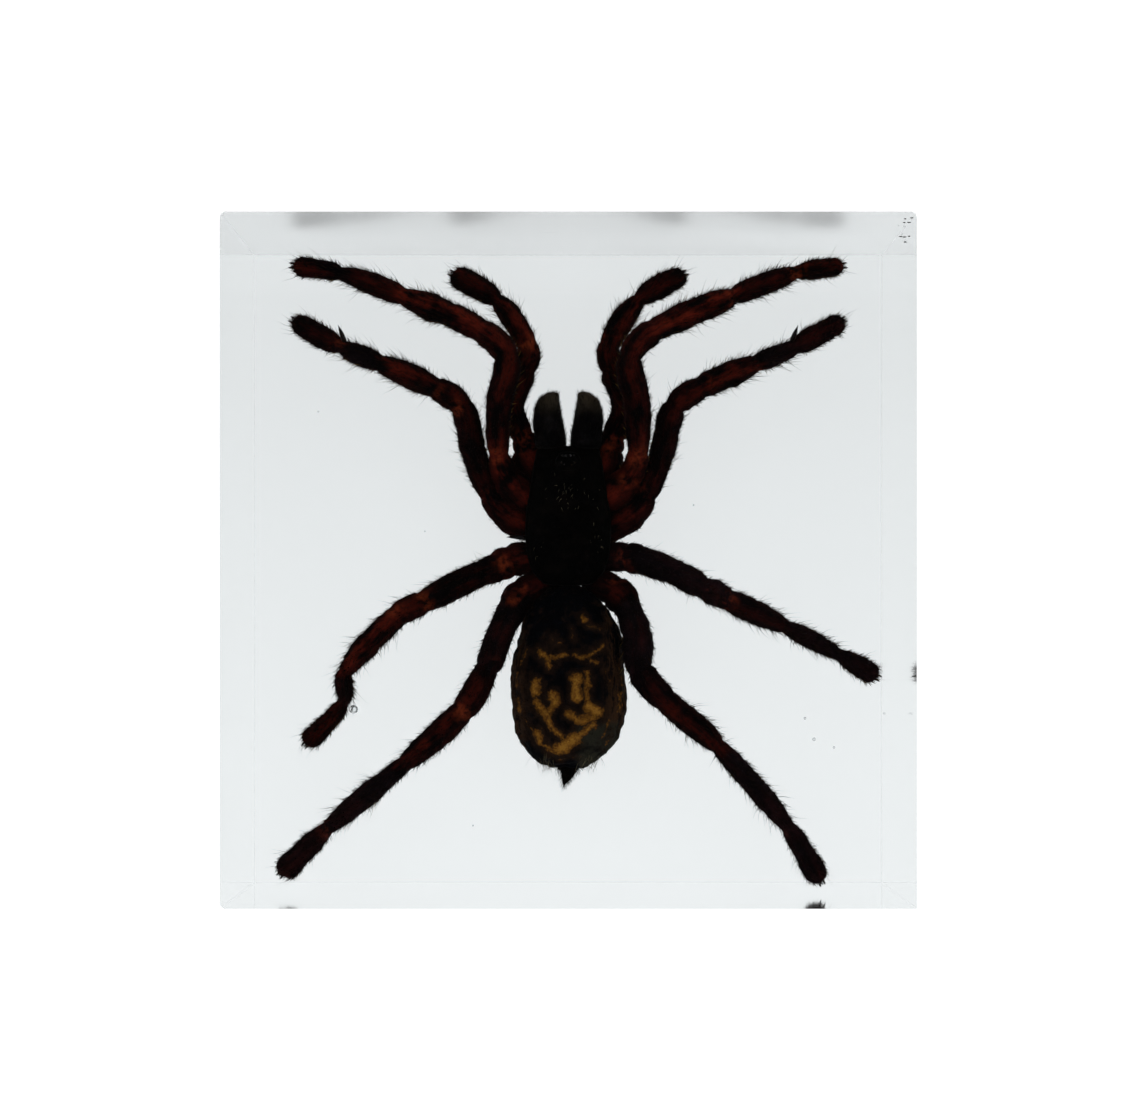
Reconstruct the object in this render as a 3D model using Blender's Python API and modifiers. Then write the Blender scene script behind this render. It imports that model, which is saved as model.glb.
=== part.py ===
"""Tarantula sealed in a square slab of clear resin, lying flat with the spider's back up.

Metres, +Z up. The origin is the middle of the slab's lower face, and +Y runs towards the spider's head.
Places and sizes are written in millimetres and scaled by MM where they reach Blender.
"""

from collections import namedtuple
from math import pi

import bmesh
import bpy
from mathutils import Vector
from mathutils.geometry import interpolate_bezier

MM = 0.001
PART_NAME = "tarantula_in_resin"

# Driving dimensions, in millimetres.
SLAB_SIDE = 75.0
SLAB_THICKNESS = 24.0
SLAB_EDGE_BREAK = 0.5
PARTING_HEIGHT = 12.0
NODE_GAP = 0.3
LIMB_CLEARANCE = 1.15
BODY_CLEARANCE = 0.9
END_CLEARANCE = 0.5
CUTTER_SPARE = 10.0
WELD_DISTANCE = 0.01

# How finely the forms are faceted.
LIMB_BEVEL_RESOLUTION = 2
POCKET_BEVEL_RESOLUTION = 1
LIMB_STEPS = 3
POCKET_STEPS = 1
BODY_SIDES = 20
SMALL_SIDES = 14
POCKET_SIDES = 12

# A limb narrows by these shares at a joint and at its tip.
JOINT_PINCH = 0.22
TIP_PINCH = 0.5

# end is where the segment ends, width is its thickest.
Segment = namedtuple("Segment", "name end width")
# y along the body, x and z of the section's middle, then how far it reaches sideways, up and down.
Station = namedtuple("Station", "y x z half_width up down")


def limb(root, *rows):
    """Returns a limb: where it starts, and its segments from the body outwards."""
    return root, [Segment(*row) for row in rows]


def form(*rows):
    """Returns a rounded body as its stations from front to rear. The first and last close it."""
    return [Station(*row) for row in rows]


# The limbs that the right side mirrors. A femur has two rows where it bows, and a coxa two where it widens.
MIRRORED_LIMBS = {
    "pedipalp": limb(
        (-2.2, 9.7, 9.8),
        ("coxa", (-3.8, 11.8, 10.0), 2.3),
        ("coxa", (-4.9, 13.6, 10.1), 2.6),
        ("trochanter", (-5.5, 15.2, 10.4), 2.6),
        ("femur", (-6.4, 18.2, 11.0), 2.7),
        ("femur", (-4.9, 22.2, 11.6), 2.8),
        ("patella", (-4.7, 25.0, 11.6), 2.7),
        ("tibia", (-8.1, 30.2, 11.1), 2.8),
        ("tarsus", (-13.3, 33.3, 10.8), 2.8),
    ),
    "leg_1": limb(
        (-2.9, 6.6, 10.0),
        ("coxa", (-5.2, 8.1, 10.5), 2.3),
        ("coxa", (-7.0, 9.7, 11.4), 2.5),
        ("trochanter", (-7.6, 12.3, 13.6), 2.6),
        ("femur", (-7.6, 17.8, 15.6), 3.1),
        ("femur", (-6.9, 23.0, 16.0), 3.1),
        ("patella", (-9.8, 26.2, 15.0), 3.0),
        ("tibia", (-18.7, 30.4, 12.6), 3.2),
        ("metatarsus", (-25.9, 33.2, 11.6), 2.5),
        ("tarsus", (-31.4, 34.1, 11.2), 2.3),
    ),
    "leg_2": limb(
        (-3.1, 3.9, 9.9),
        ("coxa", (-5.6, 4.6, 10.1), 2.2),
        ("coxa", (-7.9, 5.8, 10.5), 2.5),
        ("trochanter", (-9.2, 7.7, 10.6), 2.6),
        ("femur", (-10.8, 12.8, 11.9), 2.8),
        ("femur", (-12.0, 17.7, 14.2), 2.9),
        ("patella", (-14.9, 19.8, 14.2), 2.9),
        ("tibia", (-21.3, 22.8, 12.6), 2.9),
        ("metatarsus", (-25.8, 24.8, 11.6), 2.6),
        ("tarsus", (-31.4, 27.9, 11.2), 2.6),
    ),
}

# The limbs that lie differently on the two sides.
SINGLE_LIMBS = {
    "leg_3_left": limb(
        (-3.1, 1.2, 9.9),
        ("coxa", (-6.6, 0.5, 10.7), 2.5),
        ("trochanter", (-8.0, -0.2, 11.4), 2.9),
        ("femur", (-12.0, -2.0, 13.5), 3.1),
        ("femur", (-16.3, -4.3, 14.6), 2.8),
        ("patella", (-19.1, -5.8, 14.8), 2.9),
        ("tibia", (-25.3, -12.2, 12.2), 2.7),
        ("metatarsus", (-25.6, -15.6, 11.4), 2.1),
        ("tarsus", (-30.0, -20.5, 11.0), 2.6),
    ),
    "leg_3_right": limb(
        (3.1, 1.2, 9.9),
        ("coxa", (6.8, 0.9, 10.7), 2.5),
        ("trochanter", (8.2, 0.6, 11.4), 2.9),
        ("femur", (11.6, -0.7, 13.0), 3.1),
        ("femur", (15.2, -2.6, 14.0), 3.0),
        ("patella", (18.0, -4.0, 14.2), 2.8),
        ("tibia", (24.5, -7.0, 12.6), 2.6),
        ("metatarsus", (30.8, -10.2, 11.6), 2.1),
        ("tarsus", (35.3, -12.8, 11.2), 2.5),
    ),
    "leg_4_left": limb(
        (-2.5, -1.6, 9.9),
        ("coxa", (-5.0, -3.2, 10.6), 2.5),
        ("trochanter", (-6.2, -4.8, 11.3), 2.8),
        ("femur", (-8.1, -8.2, 13.4), 3.1),
        ("femur", (-9.4, -11.6, 14.7), 3.1),
        ("patella", (-12.0, -16.3, 14.8), 3.1),
        ("tibia", (-18.7, -22.5, 12.8), 2.9),
        ("metatarsus", (-27.5, -29.9, 11.4), 2.5),
        ("tarsus", (-32.8, -35.3, 11.0), 3.1),
    ),
    "leg_4_right": limb(
        (2.5, -1.6, 9.9),
        ("coxa", (5.2, -2.9, 10.6), 2.6),
        ("trochanter", (6.6, -4.5, 11.3), 2.8),
        ("femur", (7.9, -8.0, 13.3), 3.1),
        ("femur", (8.3, -11.9, 14.6), 3.1),
        ("patella", (10.9, -15.3, 14.9), 3.0),
        ("tibia", (17.0, -20.6, 12.8), 2.9),
        ("metatarsus", (25.2, -29.7, 11.4), 2.5),
        ("tarsus", (28.9, -36.2, 11.0), 2.6),
    ),
}

SHIELD = form(
    (13.4, 0.0, 12.9, 0.0, 0.0, 0.0),
    (13.1, 0.0, 12.6, 3.5, 1.7, 0.9),
    (12.0, 0.0, 12.4, 3.8, 2.6, 0.9),
    (10.2, 0.0, 12.2, 4.1, 3.1, 0.7),
    (8.0, 0.0, 12.1, 4.5, 3.2, 0.6),
    (5.8, 0.0, 12.0, 4.8, 2.8, 0.5),
    (3.6, 0.0, 12.0, 4.9, 2.6, 0.5),
    (1.4, 0.0, 12.0, 4.7, 2.5, 0.5),
    (-0.7, 0.0, 12.0, 4.1, 2.1, 0.5),
    (-2.0, 0.0, 12.0, 2.9, 1.4, 0.5),
    (-2.4, 0.0, 12.0, 0.0, 0.0, 0.0),
)

STERNUM = form(
    (8.8, 0.0, 10.2, 0.0, 0.0, 0.0),
    (8.0, 0.0, 10.3, 1.2, 1.5, 1.1),
    (6.0, 0.0, 10.4, 2.0, 1.9, 1.7),
    (3.4, 0.0, 10.4, 2.2, 2.0, 1.9),
    (0.8, 0.0, 10.4, 1.9, 1.9, 1.7),
    (-1.0, 0.0, 10.5, 1.1, 1.5, 1.1),
    (-1.7, 0.0, 10.6, 0.0, 0.0, 0.0),
)

EYE_TUBERCLE = form(
    (12.4, 0.0, 14.9, 0.0, 0.0, 0.0),
    (12.1, 0.0, 14.9, 0.7, 0.6, 0.5),
    (11.5, 0.0, 14.9, 0.9, 0.9, 0.8),
    (10.9, 0.0, 15.0, 0.7, 0.6, 0.6),
    (10.6, 0.0, 15.0, 0.0, 0.0, 0.0),
)

ABDOMEN = form(
    (-2.8, 0.0, 11.4, 0.0, 0.0, 0.0),
    (-3.1, 0.0, 11.4, 2.0, 1.0, 0.9),
    (-4.2, 0.0, 11.6, 3.5, 2.4, 1.9),
    (-6.2, 0.0, 11.8, 4.8, 3.6, 3.1),
    (-7.8, 0.0, 11.9, 5.6, 4.3, 3.9),
    (-10.0, 0.0, 11.9, 6.2, 4.8, 4.5),
    (-12.6, 0.0, 11.9, 6.5, 5.0, 4.8),
    (-15.2, 0.1, 11.9, 6.55, 4.9, 4.8),
    (-17.8, 0.0, 11.8, 6.2, 4.5, 4.4),
    (-20.2, 0.0, 11.7, 5.1, 3.7, 3.5),
    (-22.2, 0.0, 11.5, 3.2, 2.3, 2.1),
    (-22.9, 0.0, 11.3, 1.6, 1.1, 1.0),
    (-23.1, 0.0, 11.2, 0.0, 0.0, 0.0),
)

CHELICERA_LEFT = form(
    (19.7, -1.7, 12.2, 0.0, 0.0, 0.0),
    (19.4, -1.9, 12.3, 0.9, 1.1, 0.9),
    (18.5, -2.2, 12.5, 1.4, 1.9, 1.5),
    (16.6, -2.3, 12.8, 1.6, 2.3, 1.9),
    (14.8, -2.1, 13.0, 1.65, 2.3, 1.8),
    (13.9, -2.0, 13.0, 1.6, 2.0, 1.5),
    (13.7, -2.0, 13.0, 0.0, 0.0, 0.0),
)

# The room round the jaws, the head and the thorax, and round the spinnerets.
FRONT_ROOM = form(
    (20.5, 0.0, 12.3, 0.0, 0.0, 0.0),
    (20.1, 0.0, 12.4, 3.8, 2.6, 3.2),
    (17.8, 0.0, 12.5, 4.9, 3.8, 4.5),
    (14.2, 0.0, 12.5, 5.0, 4.0, 4.5),
    (10.6, 0.0, 12.4, 7.2, 4.5, 4.5),
    (4.4, 0.0, 12.2, 8.2, 4.2, 4.6),
    (-0.6, 0.0, 12.0, 6.0, 3.4, 4.0),
    (-2.9, 0.0, 12.0, 2.8, 2.2, 2.2),
    (-3.3, 0.0, 12.0, 0.0, 0.0, 0.0),
)
SPINNERET_ROOM = ((0.0, -22.6, 11.2), (-0.1, -25.7, 10.6))
SPINNERET_ROOM_WIDTHS = (4.4, 2.8)

FANG_LEFT = (
    (-2.1, 18.4, 11.2),
    (-2.0, 18.1, 10.2),
    (-1.8, 16.8, 9.6),
    (-1.6, 15.2, 9.5),
    (-1.4, 14.2, 9.8),
)
FANG_WIDTHS = (1.3, 1.2, 0.9, 0.6, 0.25)

SPINNERETS = (
    ((-0.2, -23.5, 11.1), (-0.3, -24.3, 10.9), (-0.4, -25.2, 10.6)),
    ((0.5, -23.5, 11.1), (0.4, -24.3, 10.9), (0.0, -25.0, 10.6)),
)
SPINNERET_WIDTHS = (1.3, 1.0, 0.4)

CHITIN = ("dried_chitin", (0.035, 0.018, 0.012, 1.0), 0.45)
LEG_SKIN = ("leg_skin", (0.060, 0.020, 0.012, 1.0), 0.5)
ABDOMEN_SKIN = ("abdomen_skin", (0.110, 0.070, 0.025, 1.0), 0.6)
RESIN = ("clear_resin", (0.90, 0.92, 0.92, 1.0), 0.05)


def clear_scene():
    """Removes every object and collection that the file starts with."""
    for obj in list(bpy.data.objects):
        bpy.data.objects.remove(obj, do_unlink=True)
    for collection in list(bpy.data.collections):
        bpy.data.collections.remove(collection)


def new_collection(name):
    collection = bpy.data.collections.new(name)
    bpy.context.scene.collection.children.link(collection)
    return collection


def material(finish):
    """Returns the material of a finish, made the first time it is asked for."""
    name, colour, roughness = finish
    if name in bpy.data.materials:
        return bpy.data.materials[name]
    made = bpy.data.materials.new(name)
    made.use_nodes = True
    shader = made.node_tree.nodes["Principled BSDF"]
    shader.inputs["Base Color"].default_value = colour
    shader.inputs["Roughness"].default_value = roughness
    shader.inputs["Metallic"].default_value = 0.0
    if finish is RESIN:
        shader.inputs["Transmission Weight"].default_value = 1.0
        shader.inputs["IOR"].default_value = 1.5
    return made


def add_object(name, mesh, collection, finish=None):
    obj = bpy.data.objects.new(name, mesh)
    collection.objects.link(obj)
    if finish:
        mesh.materials.append(material(finish))
    return obj


def mirrored(points):
    """Returns the points on the other side of the spider's middle plane."""
    return [(-x, y, z) for x, y, z in points]


def smooth_path(points, steps):
    """Returns a smooth path through the points, with so many steps between two neighbours."""
    knots = [Vector(point) for point in points]
    last = len(knots) - 1
    headings = []
    for i in range(last + 1):
        ahead, behind = knots[min(i + 1, last)], knots[max(i - 1, 0)]
        headings.append((ahead - behind).normalized())
    path = [knots[0]]
    for i in range(last):
        reach = (knots[i + 1] - knots[i]).length / 3
        handle_out = knots[i] + headings[i] * reach
        handle_in = knots[i + 1] - headings[i + 1] * reach
        path += interpolate_bezier(knots[i], handle_out, handle_in, knots[i + 1], steps + 1)[1:]
    return path


def limb_radii(segments, steps):
    """Returns the radius at each step of a limb: full along a segment and narrow at its joints."""
    radii = []
    last = len(segments) - 1
    for i, segment in enumerate(segments):
        joint_before = i > 0 and segments[i - 1].name != segment.name
        joint_after = i < last and segments[i + 1].name != segment.name
        for step in range(steps):
            u = step / steps
            pinch = JOINT_PINCH * (1 - 2 * u) ** 4 if (joint_before and u < 0.5) else 0.0
            if joint_after and u > 0.5:
                pinch = JOINT_PINCH * (2 * u - 1) ** 4
            radii.append(segment.width / 2 * (1 - pinch))
    return radii + [segments[last].width / 2 * (1 - TIP_PINCH)]


def face_outwards(bm):
    """Turns a closed mesh right side out."""
    if bm.calc_volume(signed=True) < 0:
        bmesh.ops.reverse_faces(bm, faces=bm.faces)


def tube(name, path, radii, collection, bevel_resolution):
    """Returns a closed tube along the path, as a mesh object with its caps welded on."""
    curve = bpy.data.curves.new(name, "CURVE")
    curve.dimensions = "3D"
    curve.bevel_depth = MM
    curve.bevel_resolution = bevel_resolution
    curve.use_fill_caps = True
    spline = curve.splines.new("POLY")
    spline.points.add(len(path) - 1)
    for point, place, radius in zip(spline.points, path, radii):
        point.co = (*(Vector(place) * MM), 1.0)
        point.radius = radius
    guide = bpy.data.objects.new(f"{name}_guide", curve)
    collection.objects.link(guide)
    bpy.context.view_layer.update()
    mesh = bpy.data.meshes.new_from_object(guide.evaluated_get(bpy.context.evaluated_depsgraph_get()))
    bpy.data.objects.remove(guide, do_unlink=True)
    bm = bmesh.new()
    bm.from_mesh(mesh)
    bmesh.ops.remove_doubles(bm, verts=bm.verts, dist=WELD_DISTANCE * MM)
    face_outwards(bm)
    bm.to_mesh(mesh)
    bm.free()
    mesh.name = name
    mesh.materials.clear()
    mesh.shade_smooth()
    return add_object(name, mesh, collection)


def rounded_form(name, stations, sides, collection, grow=0.0, flip=False):
    """Returns a sphere whose rings are moved to the stations, as one closed, rounded body.

    grow makes it larger all round, for the pocket. flip puts it on the other side of the body.
    """
    rings = len(stations) - 1
    bm = bmesh.new()
    bmesh.ops.create_uvsphere(bm, u_segments=sides, v_segments=rings, radius=1.0)
    front, rear = stations[0].y + grow, stations[-1].y - grow
    for vertex in bm.verts:
        ring = round(Vector((0, 0, 1)).angle(vertex.co) / (pi / rings))
        station = stations[ring]
        around = Vector((vertex.co.x, vertex.co.y))
        if 0 < ring < rings:
            around.normalize()
            half_width = station.half_width + grow
            height = (station.up if around.y > 0 else station.down) + grow
            y = station.y + {1: grow, rings - 1: -grow}.get(ring, 0.0)
        else:
            half_width = height = 0.0
            y = front if ring == 0 else rear
        x = station.x + around.x * half_width
        vertex.co = Vector((-x if flip else x, y, station.z + around.y * height)) * MM
    face_outwards(bm)
    mesh = bpy.data.meshes.new(name)
    bm.to_mesh(mesh)
    bm.free()
    mesh.shade_smooth()
    return add_object(name, mesh, collection)


def boolean(obj, other, operation, crosses_itself=False):
    """Adds a Boolean modifier. crosses_itself is for a body whose own walls may cross."""
    modifier = obj.modifiers.new(f"{operation.lower()}_{other.name}", "BOOLEAN")
    modifier.operation = operation
    modifier.object = other
    modifier.solver = "EXACT"
    modifier.use_self = crosses_itself


def as_cutter(obj):
    obj.hide_render = True
    obj.display_type = "WIRE"
    return obj


def widened(path, radii, clearance):
    """Returns a tube's path and radii with room round it, and beyond both its ends."""
    start, end = Vector(path[0]), Vector(path[-1])
    before = start + (start - Vector(path[1])).normalized() * END_CLEARANCE
    beyond = end + (end - Vector(path[-2])).normalized() * END_CLEARANCE
    wide = [radius + clearance for radius in radii]
    return [before, *path, beyond], [wide[0], *wide, wide[-1]]


def build_limb(name, root, segments, parts, cutters, flip):
    """Adds a limb and the cutter of its part of the pocket."""
    points = [root, *(segment.end for segment in segments)]
    if flip:
        points = mirrored(points)
    path = smooth_path(points, LIMB_STEPS)
    obj = tube(name, path, limb_radii(segments, LIMB_STEPS), parts, LIMB_BEVEL_RESOLUTION)
    obj.data.materials.append(material(LEG_SKIN))
    coarse = smooth_path(points, POCKET_STEPS)
    full_widths = [segment.width / 2 for segment in segments for _ in range(POCKET_STEPS)]
    tip = full_widths[-1] * (1 - TIP_PINCH)
    room, room_radii = widened(coarse, [*full_widths, tip], LIMB_CLEARANCE)
    as_cutter(tube(f"{name}_room", room, room_radii, cutters, POCKET_BEVEL_RESOLUTION))


def build_limbs(parts, cutters):
    for name, (root, segments) in MIRRORED_LIMBS.items():
        build_limb(f"{name}_left", root, segments, parts, cutters, flip=False)
        build_limb(f"{name}_right", root, segments, parts, cutters, flip=True)
    for name, (root, segments) in SINGLE_LIMBS.items():
        build_limb(name, root, segments, parts, cutters, flip=False)


def build_cephalothorax(parts, cutters):
    """The shield over the head and thorax, with the sternum's trunk below it and the eyes' mound on it.

    The room made for it is the jaws' room too.
    """
    obj = rounded_form("cephalothorax", SHIELD, BODY_SIDES, parts)
    obj.data.materials.append(material(CHITIN))
    trunk = as_cutter(rounded_form("sternum_form", STERNUM, SMALL_SIDES, cutters))
    mound = as_cutter(rounded_form("eye_mound_form", EYE_TUBERCLE, SMALL_SIDES, cutters))
    boolean(obj, trunk, "UNION")
    boolean(obj, mound, "UNION")
    as_cutter(rounded_form("front_room", FRONT_ROOM, POCKET_SIDES, cutters))


def build_abdomen(parts, cutters):
    obj = rounded_form("abdomen", ABDOMEN, BODY_SIDES, parts)
    obj.data.materials.append(material(ABDOMEN_SKIN))
    as_cutter(rounded_form("abdomen_room", ABDOMEN[::2], POCKET_SIDES, cutters, grow=BODY_CLEARANCE))


def build_spinnerets(parts, cutters):
    """Two tapered fingers, grown together at their base."""
    fingers = []
    for side, path in zip(("left", "right"), SPINNERETS):
        radii = [width / 2 for width in SPINNERET_WIDTHS]
        collection = parts if side == "left" else cutters
        name = "spinnerets" if side == "left" else "spinneret_form"
        fingers.append(tube(name, path, radii, collection, LIMB_BEVEL_RESOLUTION))
    fingers[0].data.materials.append(material(CHITIN))
    boolean(fingers[0], as_cutter(fingers[1]), "UNION")
    room_radii = [width / 2 for width in SPINNERET_ROOM_WIDTHS]
    as_cutter(tube("spinneret_room", SPINNERET_ROOM, room_radii, cutters, POCKET_BEVEL_RESOLUTION))


def build_chelicera(side, parts, cutters):
    """One jaw, with its fang folded back under it."""
    flip = side == "right"
    obj = rounded_form(f"chelicera_{side}", CHELICERA_LEFT, SMALL_SIDES, parts, flip=flip)
    obj.data.materials.append(material(CHITIN))
    path = mirrored(FANG_LEFT) if flip else FANG_LEFT
    radii = [width / 2 for width in FANG_WIDTHS]
    fang = tube(f"fang_{side}_form", path, radii, cutters, LIMB_BEVEL_RESOLUTION)
    boolean(obj, as_cutter(fang), "UNION")


def slab_box(name, collection, low, high, side):
    """Returns a square box from one height to another."""
    bm = bmesh.new()
    bmesh.ops.create_cube(bm, size=1.0)
    bmesh.ops.scale(bm, verts=bm.verts, vec=(side * MM, side * MM, (high - low) * MM))
    bmesh.ops.translate(bm, verts=bm.verts, vec=(0.0, 0.0, (low + high) / 2 * MM))
    mesh = bpy.data.meshes.new(name)
    bm.to_mesh(mesh)
    bm.free()
    return add_object(name, mesh, collection)


def build_pocket(cutters):
    """Joins the room round every piece of the spider into one cutter."""
    rooms = [obj for obj in cutters.objects if obj.name.endswith("_room")]
    pocket = as_cutter(add_object("pocket", rooms[0].data.copy(), cutters))
    for room in rooms[1:]:
        boolean(pocket, room, "UNION", crosses_itself=True)
    return pocket


def build_slab_half(name, parting, parts, pocket):
    """The slab with its edges broken, cut back to one side of the parting plane and hollowed."""
    half = slab_box(name, parts, 0.0, SLAB_THICKNESS, SLAB_SIDE)
    half.data.materials.append(material(RESIN))
    bevel = half.modifiers.new("broken_edges", "BEVEL")
    bevel.width = SLAB_EDGE_BREAK * MM
    bevel.segments = 1
    boolean(half, parting, "DIFFERENCE")
    boolean(half, pocket, "DIFFERENCE")


def build_slab(parts, cutters):
    """The two halves of the slab, with a pocket between them that follows the spider."""
    pocket = build_pocket(cutters)
    lower_top = PARTING_HEIGHT - NODE_GAP / 2
    upper_bottom = PARTING_HEIGHT + NODE_GAP / 2
    cutter_side = SLAB_SIDE + CUTTER_SPARE
    above = slab_box("above_parting", cutters, lower_top, SLAB_THICKNESS + CUTTER_SPARE, cutter_side)
    below = slab_box("below_parting", cutters, -CUTTER_SPARE, upper_bottom, cutter_side)
    build_slab_half("resin_block_lower", as_cutter(above), parts, pocket)
    build_slab_half("resin_block_upper", as_cutter(below), parts, pocket)


def main():
    clear_scene()
    parts = new_collection(PART_NAME)
    cutters = new_collection("cutters")
    build_cephalothorax(parts, cutters)
    build_abdomen(parts, cutters)
    build_spinnerets(parts, cutters)
    for side in ("left", "right"):
        build_chelicera(side, parts, cutters)
    build_limbs(parts, cutters)
    build_slab(parts, cutters)


main()
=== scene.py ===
"""Looks of a tarantula specimen cast in a clear resin slab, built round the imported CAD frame.

Shapes are worked out in millimetres, in the frame's own axes, and turned to metres as each
mesh is finished. +Y points to the head and +Z to the spider's back. Every node of the frame is
replaced by a finer piece made here.
"""

import logging
import math
from collections.abc import Callable, Iterable, Sequence
from dataclasses import dataclass, field
from enum import Enum
from functools import reduce
from typing import Any, NamedTuple

import bmesh
import bpy
import numpy as np
from mathutils import Matrix, Vector, geometry, noise


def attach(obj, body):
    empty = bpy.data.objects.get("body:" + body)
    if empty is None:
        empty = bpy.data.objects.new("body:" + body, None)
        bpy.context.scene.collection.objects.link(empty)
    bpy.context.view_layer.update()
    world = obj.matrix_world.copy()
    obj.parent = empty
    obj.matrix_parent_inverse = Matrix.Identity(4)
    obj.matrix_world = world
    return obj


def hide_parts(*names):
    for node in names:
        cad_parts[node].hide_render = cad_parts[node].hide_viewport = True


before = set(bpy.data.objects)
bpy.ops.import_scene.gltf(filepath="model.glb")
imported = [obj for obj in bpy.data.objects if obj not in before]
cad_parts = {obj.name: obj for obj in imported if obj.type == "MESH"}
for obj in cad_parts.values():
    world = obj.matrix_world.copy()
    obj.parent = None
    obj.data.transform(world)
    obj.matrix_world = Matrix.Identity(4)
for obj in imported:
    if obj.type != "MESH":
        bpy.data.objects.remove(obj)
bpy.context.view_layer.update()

LOG = logging.getLogger("tarantula_slab")
BODY = "root"
MM = 0.001

SLAB_SIDE = 75.0
SLAB_THICKNESS = 24.0
# Two heights closer than this are one.
TOUCH = 0.01
# How far every hair stays from the slab's walls.
HAIR_WALL_GAP = 0.45
# How deep a hair's root is in the skin, and the least that a hair leans out of it.
ROOT_DEPTH = 0.04
LEAST_RISE = 0.05
# The skin lies in resin, so it gleams far less than it would in air.
SKIN_IOR = 1.045

Colour = tuple[float, float, float, float]
Spot = tuple[float, float, float]

BLACK: Colour = (0.0, 0.0, 0.0, 1.0)
WHITE: Colour = (1.0, 1.0, 1.0, 1.0)


class Side(Enum):
    """Which side of the spider a piece is on, as the sign of its x."""

    LEFT = -1
    RIGHT = 1


class Slot(Enum):
    """The record's material slots."""

    RESIN = "clear_resin"
    CHITIN = "chitin"
    LEGS = "leg_skin"
    ABDOMEN = "abdomen_skin"


def rgb(red: int, green: int, blue: int) -> Colour:
    """A screen colour as the linear one that shaders take.

    Args:
        red: the screen's red, 0 to 255.
        green: its green.
        blue: its blue.

    Returns:
        The linear colour, opaque.
    """
    parts = [c / 255.0 for c in (red, green, blue)]
    parts = [c / 12.92 if c <= 0.04045 else ((c + 0.055) / 1.055) ** 2.4 for c in parts]
    return parts[0], parts[1], parts[2], 1.0


# ---------------------------------------------------------------------------
# Shader maths
# ---------------------------------------------------------------------------


class Value:
    """A node's output, on which plain arithmetic adds Math nodes."""

    def __init__(self, paint: "Paint", socket: bpy.types.NodeSocket) -> None:
        """Wraps one output socket of a paint's tree."""
        self.paint = paint
        self.socket = socket

    def _maths(self, operation: str, first: Any, second: Any = 0.0) -> "Value":
        """One Math node on two values."""
        return self.paint.node("ShaderNodeMath", {"operation": operation}, {0: first, 1: second})

    def __add__(self, other: Any) -> "Value":
        """self + other."""
        return self._maths("ADD", self, other)

    __radd__ = __add__

    def __sub__(self, other: Any) -> "Value":
        """self - other."""
        return self._maths("SUBTRACT", self, other)

    def __rsub__(self, other: Any) -> "Value":
        """other - self."""
        return self._maths("SUBTRACT", other, self)

    def __mul__(self, other: Any) -> "Value":
        """self * other."""
        return self._maths("MULTIPLY", self, other)

    __rmul__ = __mul__

    def most(self, other: Any) -> "Value":
        """The greater of the two."""
        return self._maths("MAXIMUM", self, other)

    def size(self) -> "Value":
        """The value without its sign."""
        return self._maths("ABSOLUTE", self)

    def eased(self, start: float, end: float, low: float = 0.0, high: float = 1.0) -> "Value":
        """A soft step from low at start to high at end."""
        sockets = {0: self, 1: start, 2: end, 3: low, 4: high}
        return self.paint.node("ShaderNodeMapRange", {"interpolation_type": "SMOOTHSTEP"}, sockets)


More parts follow.
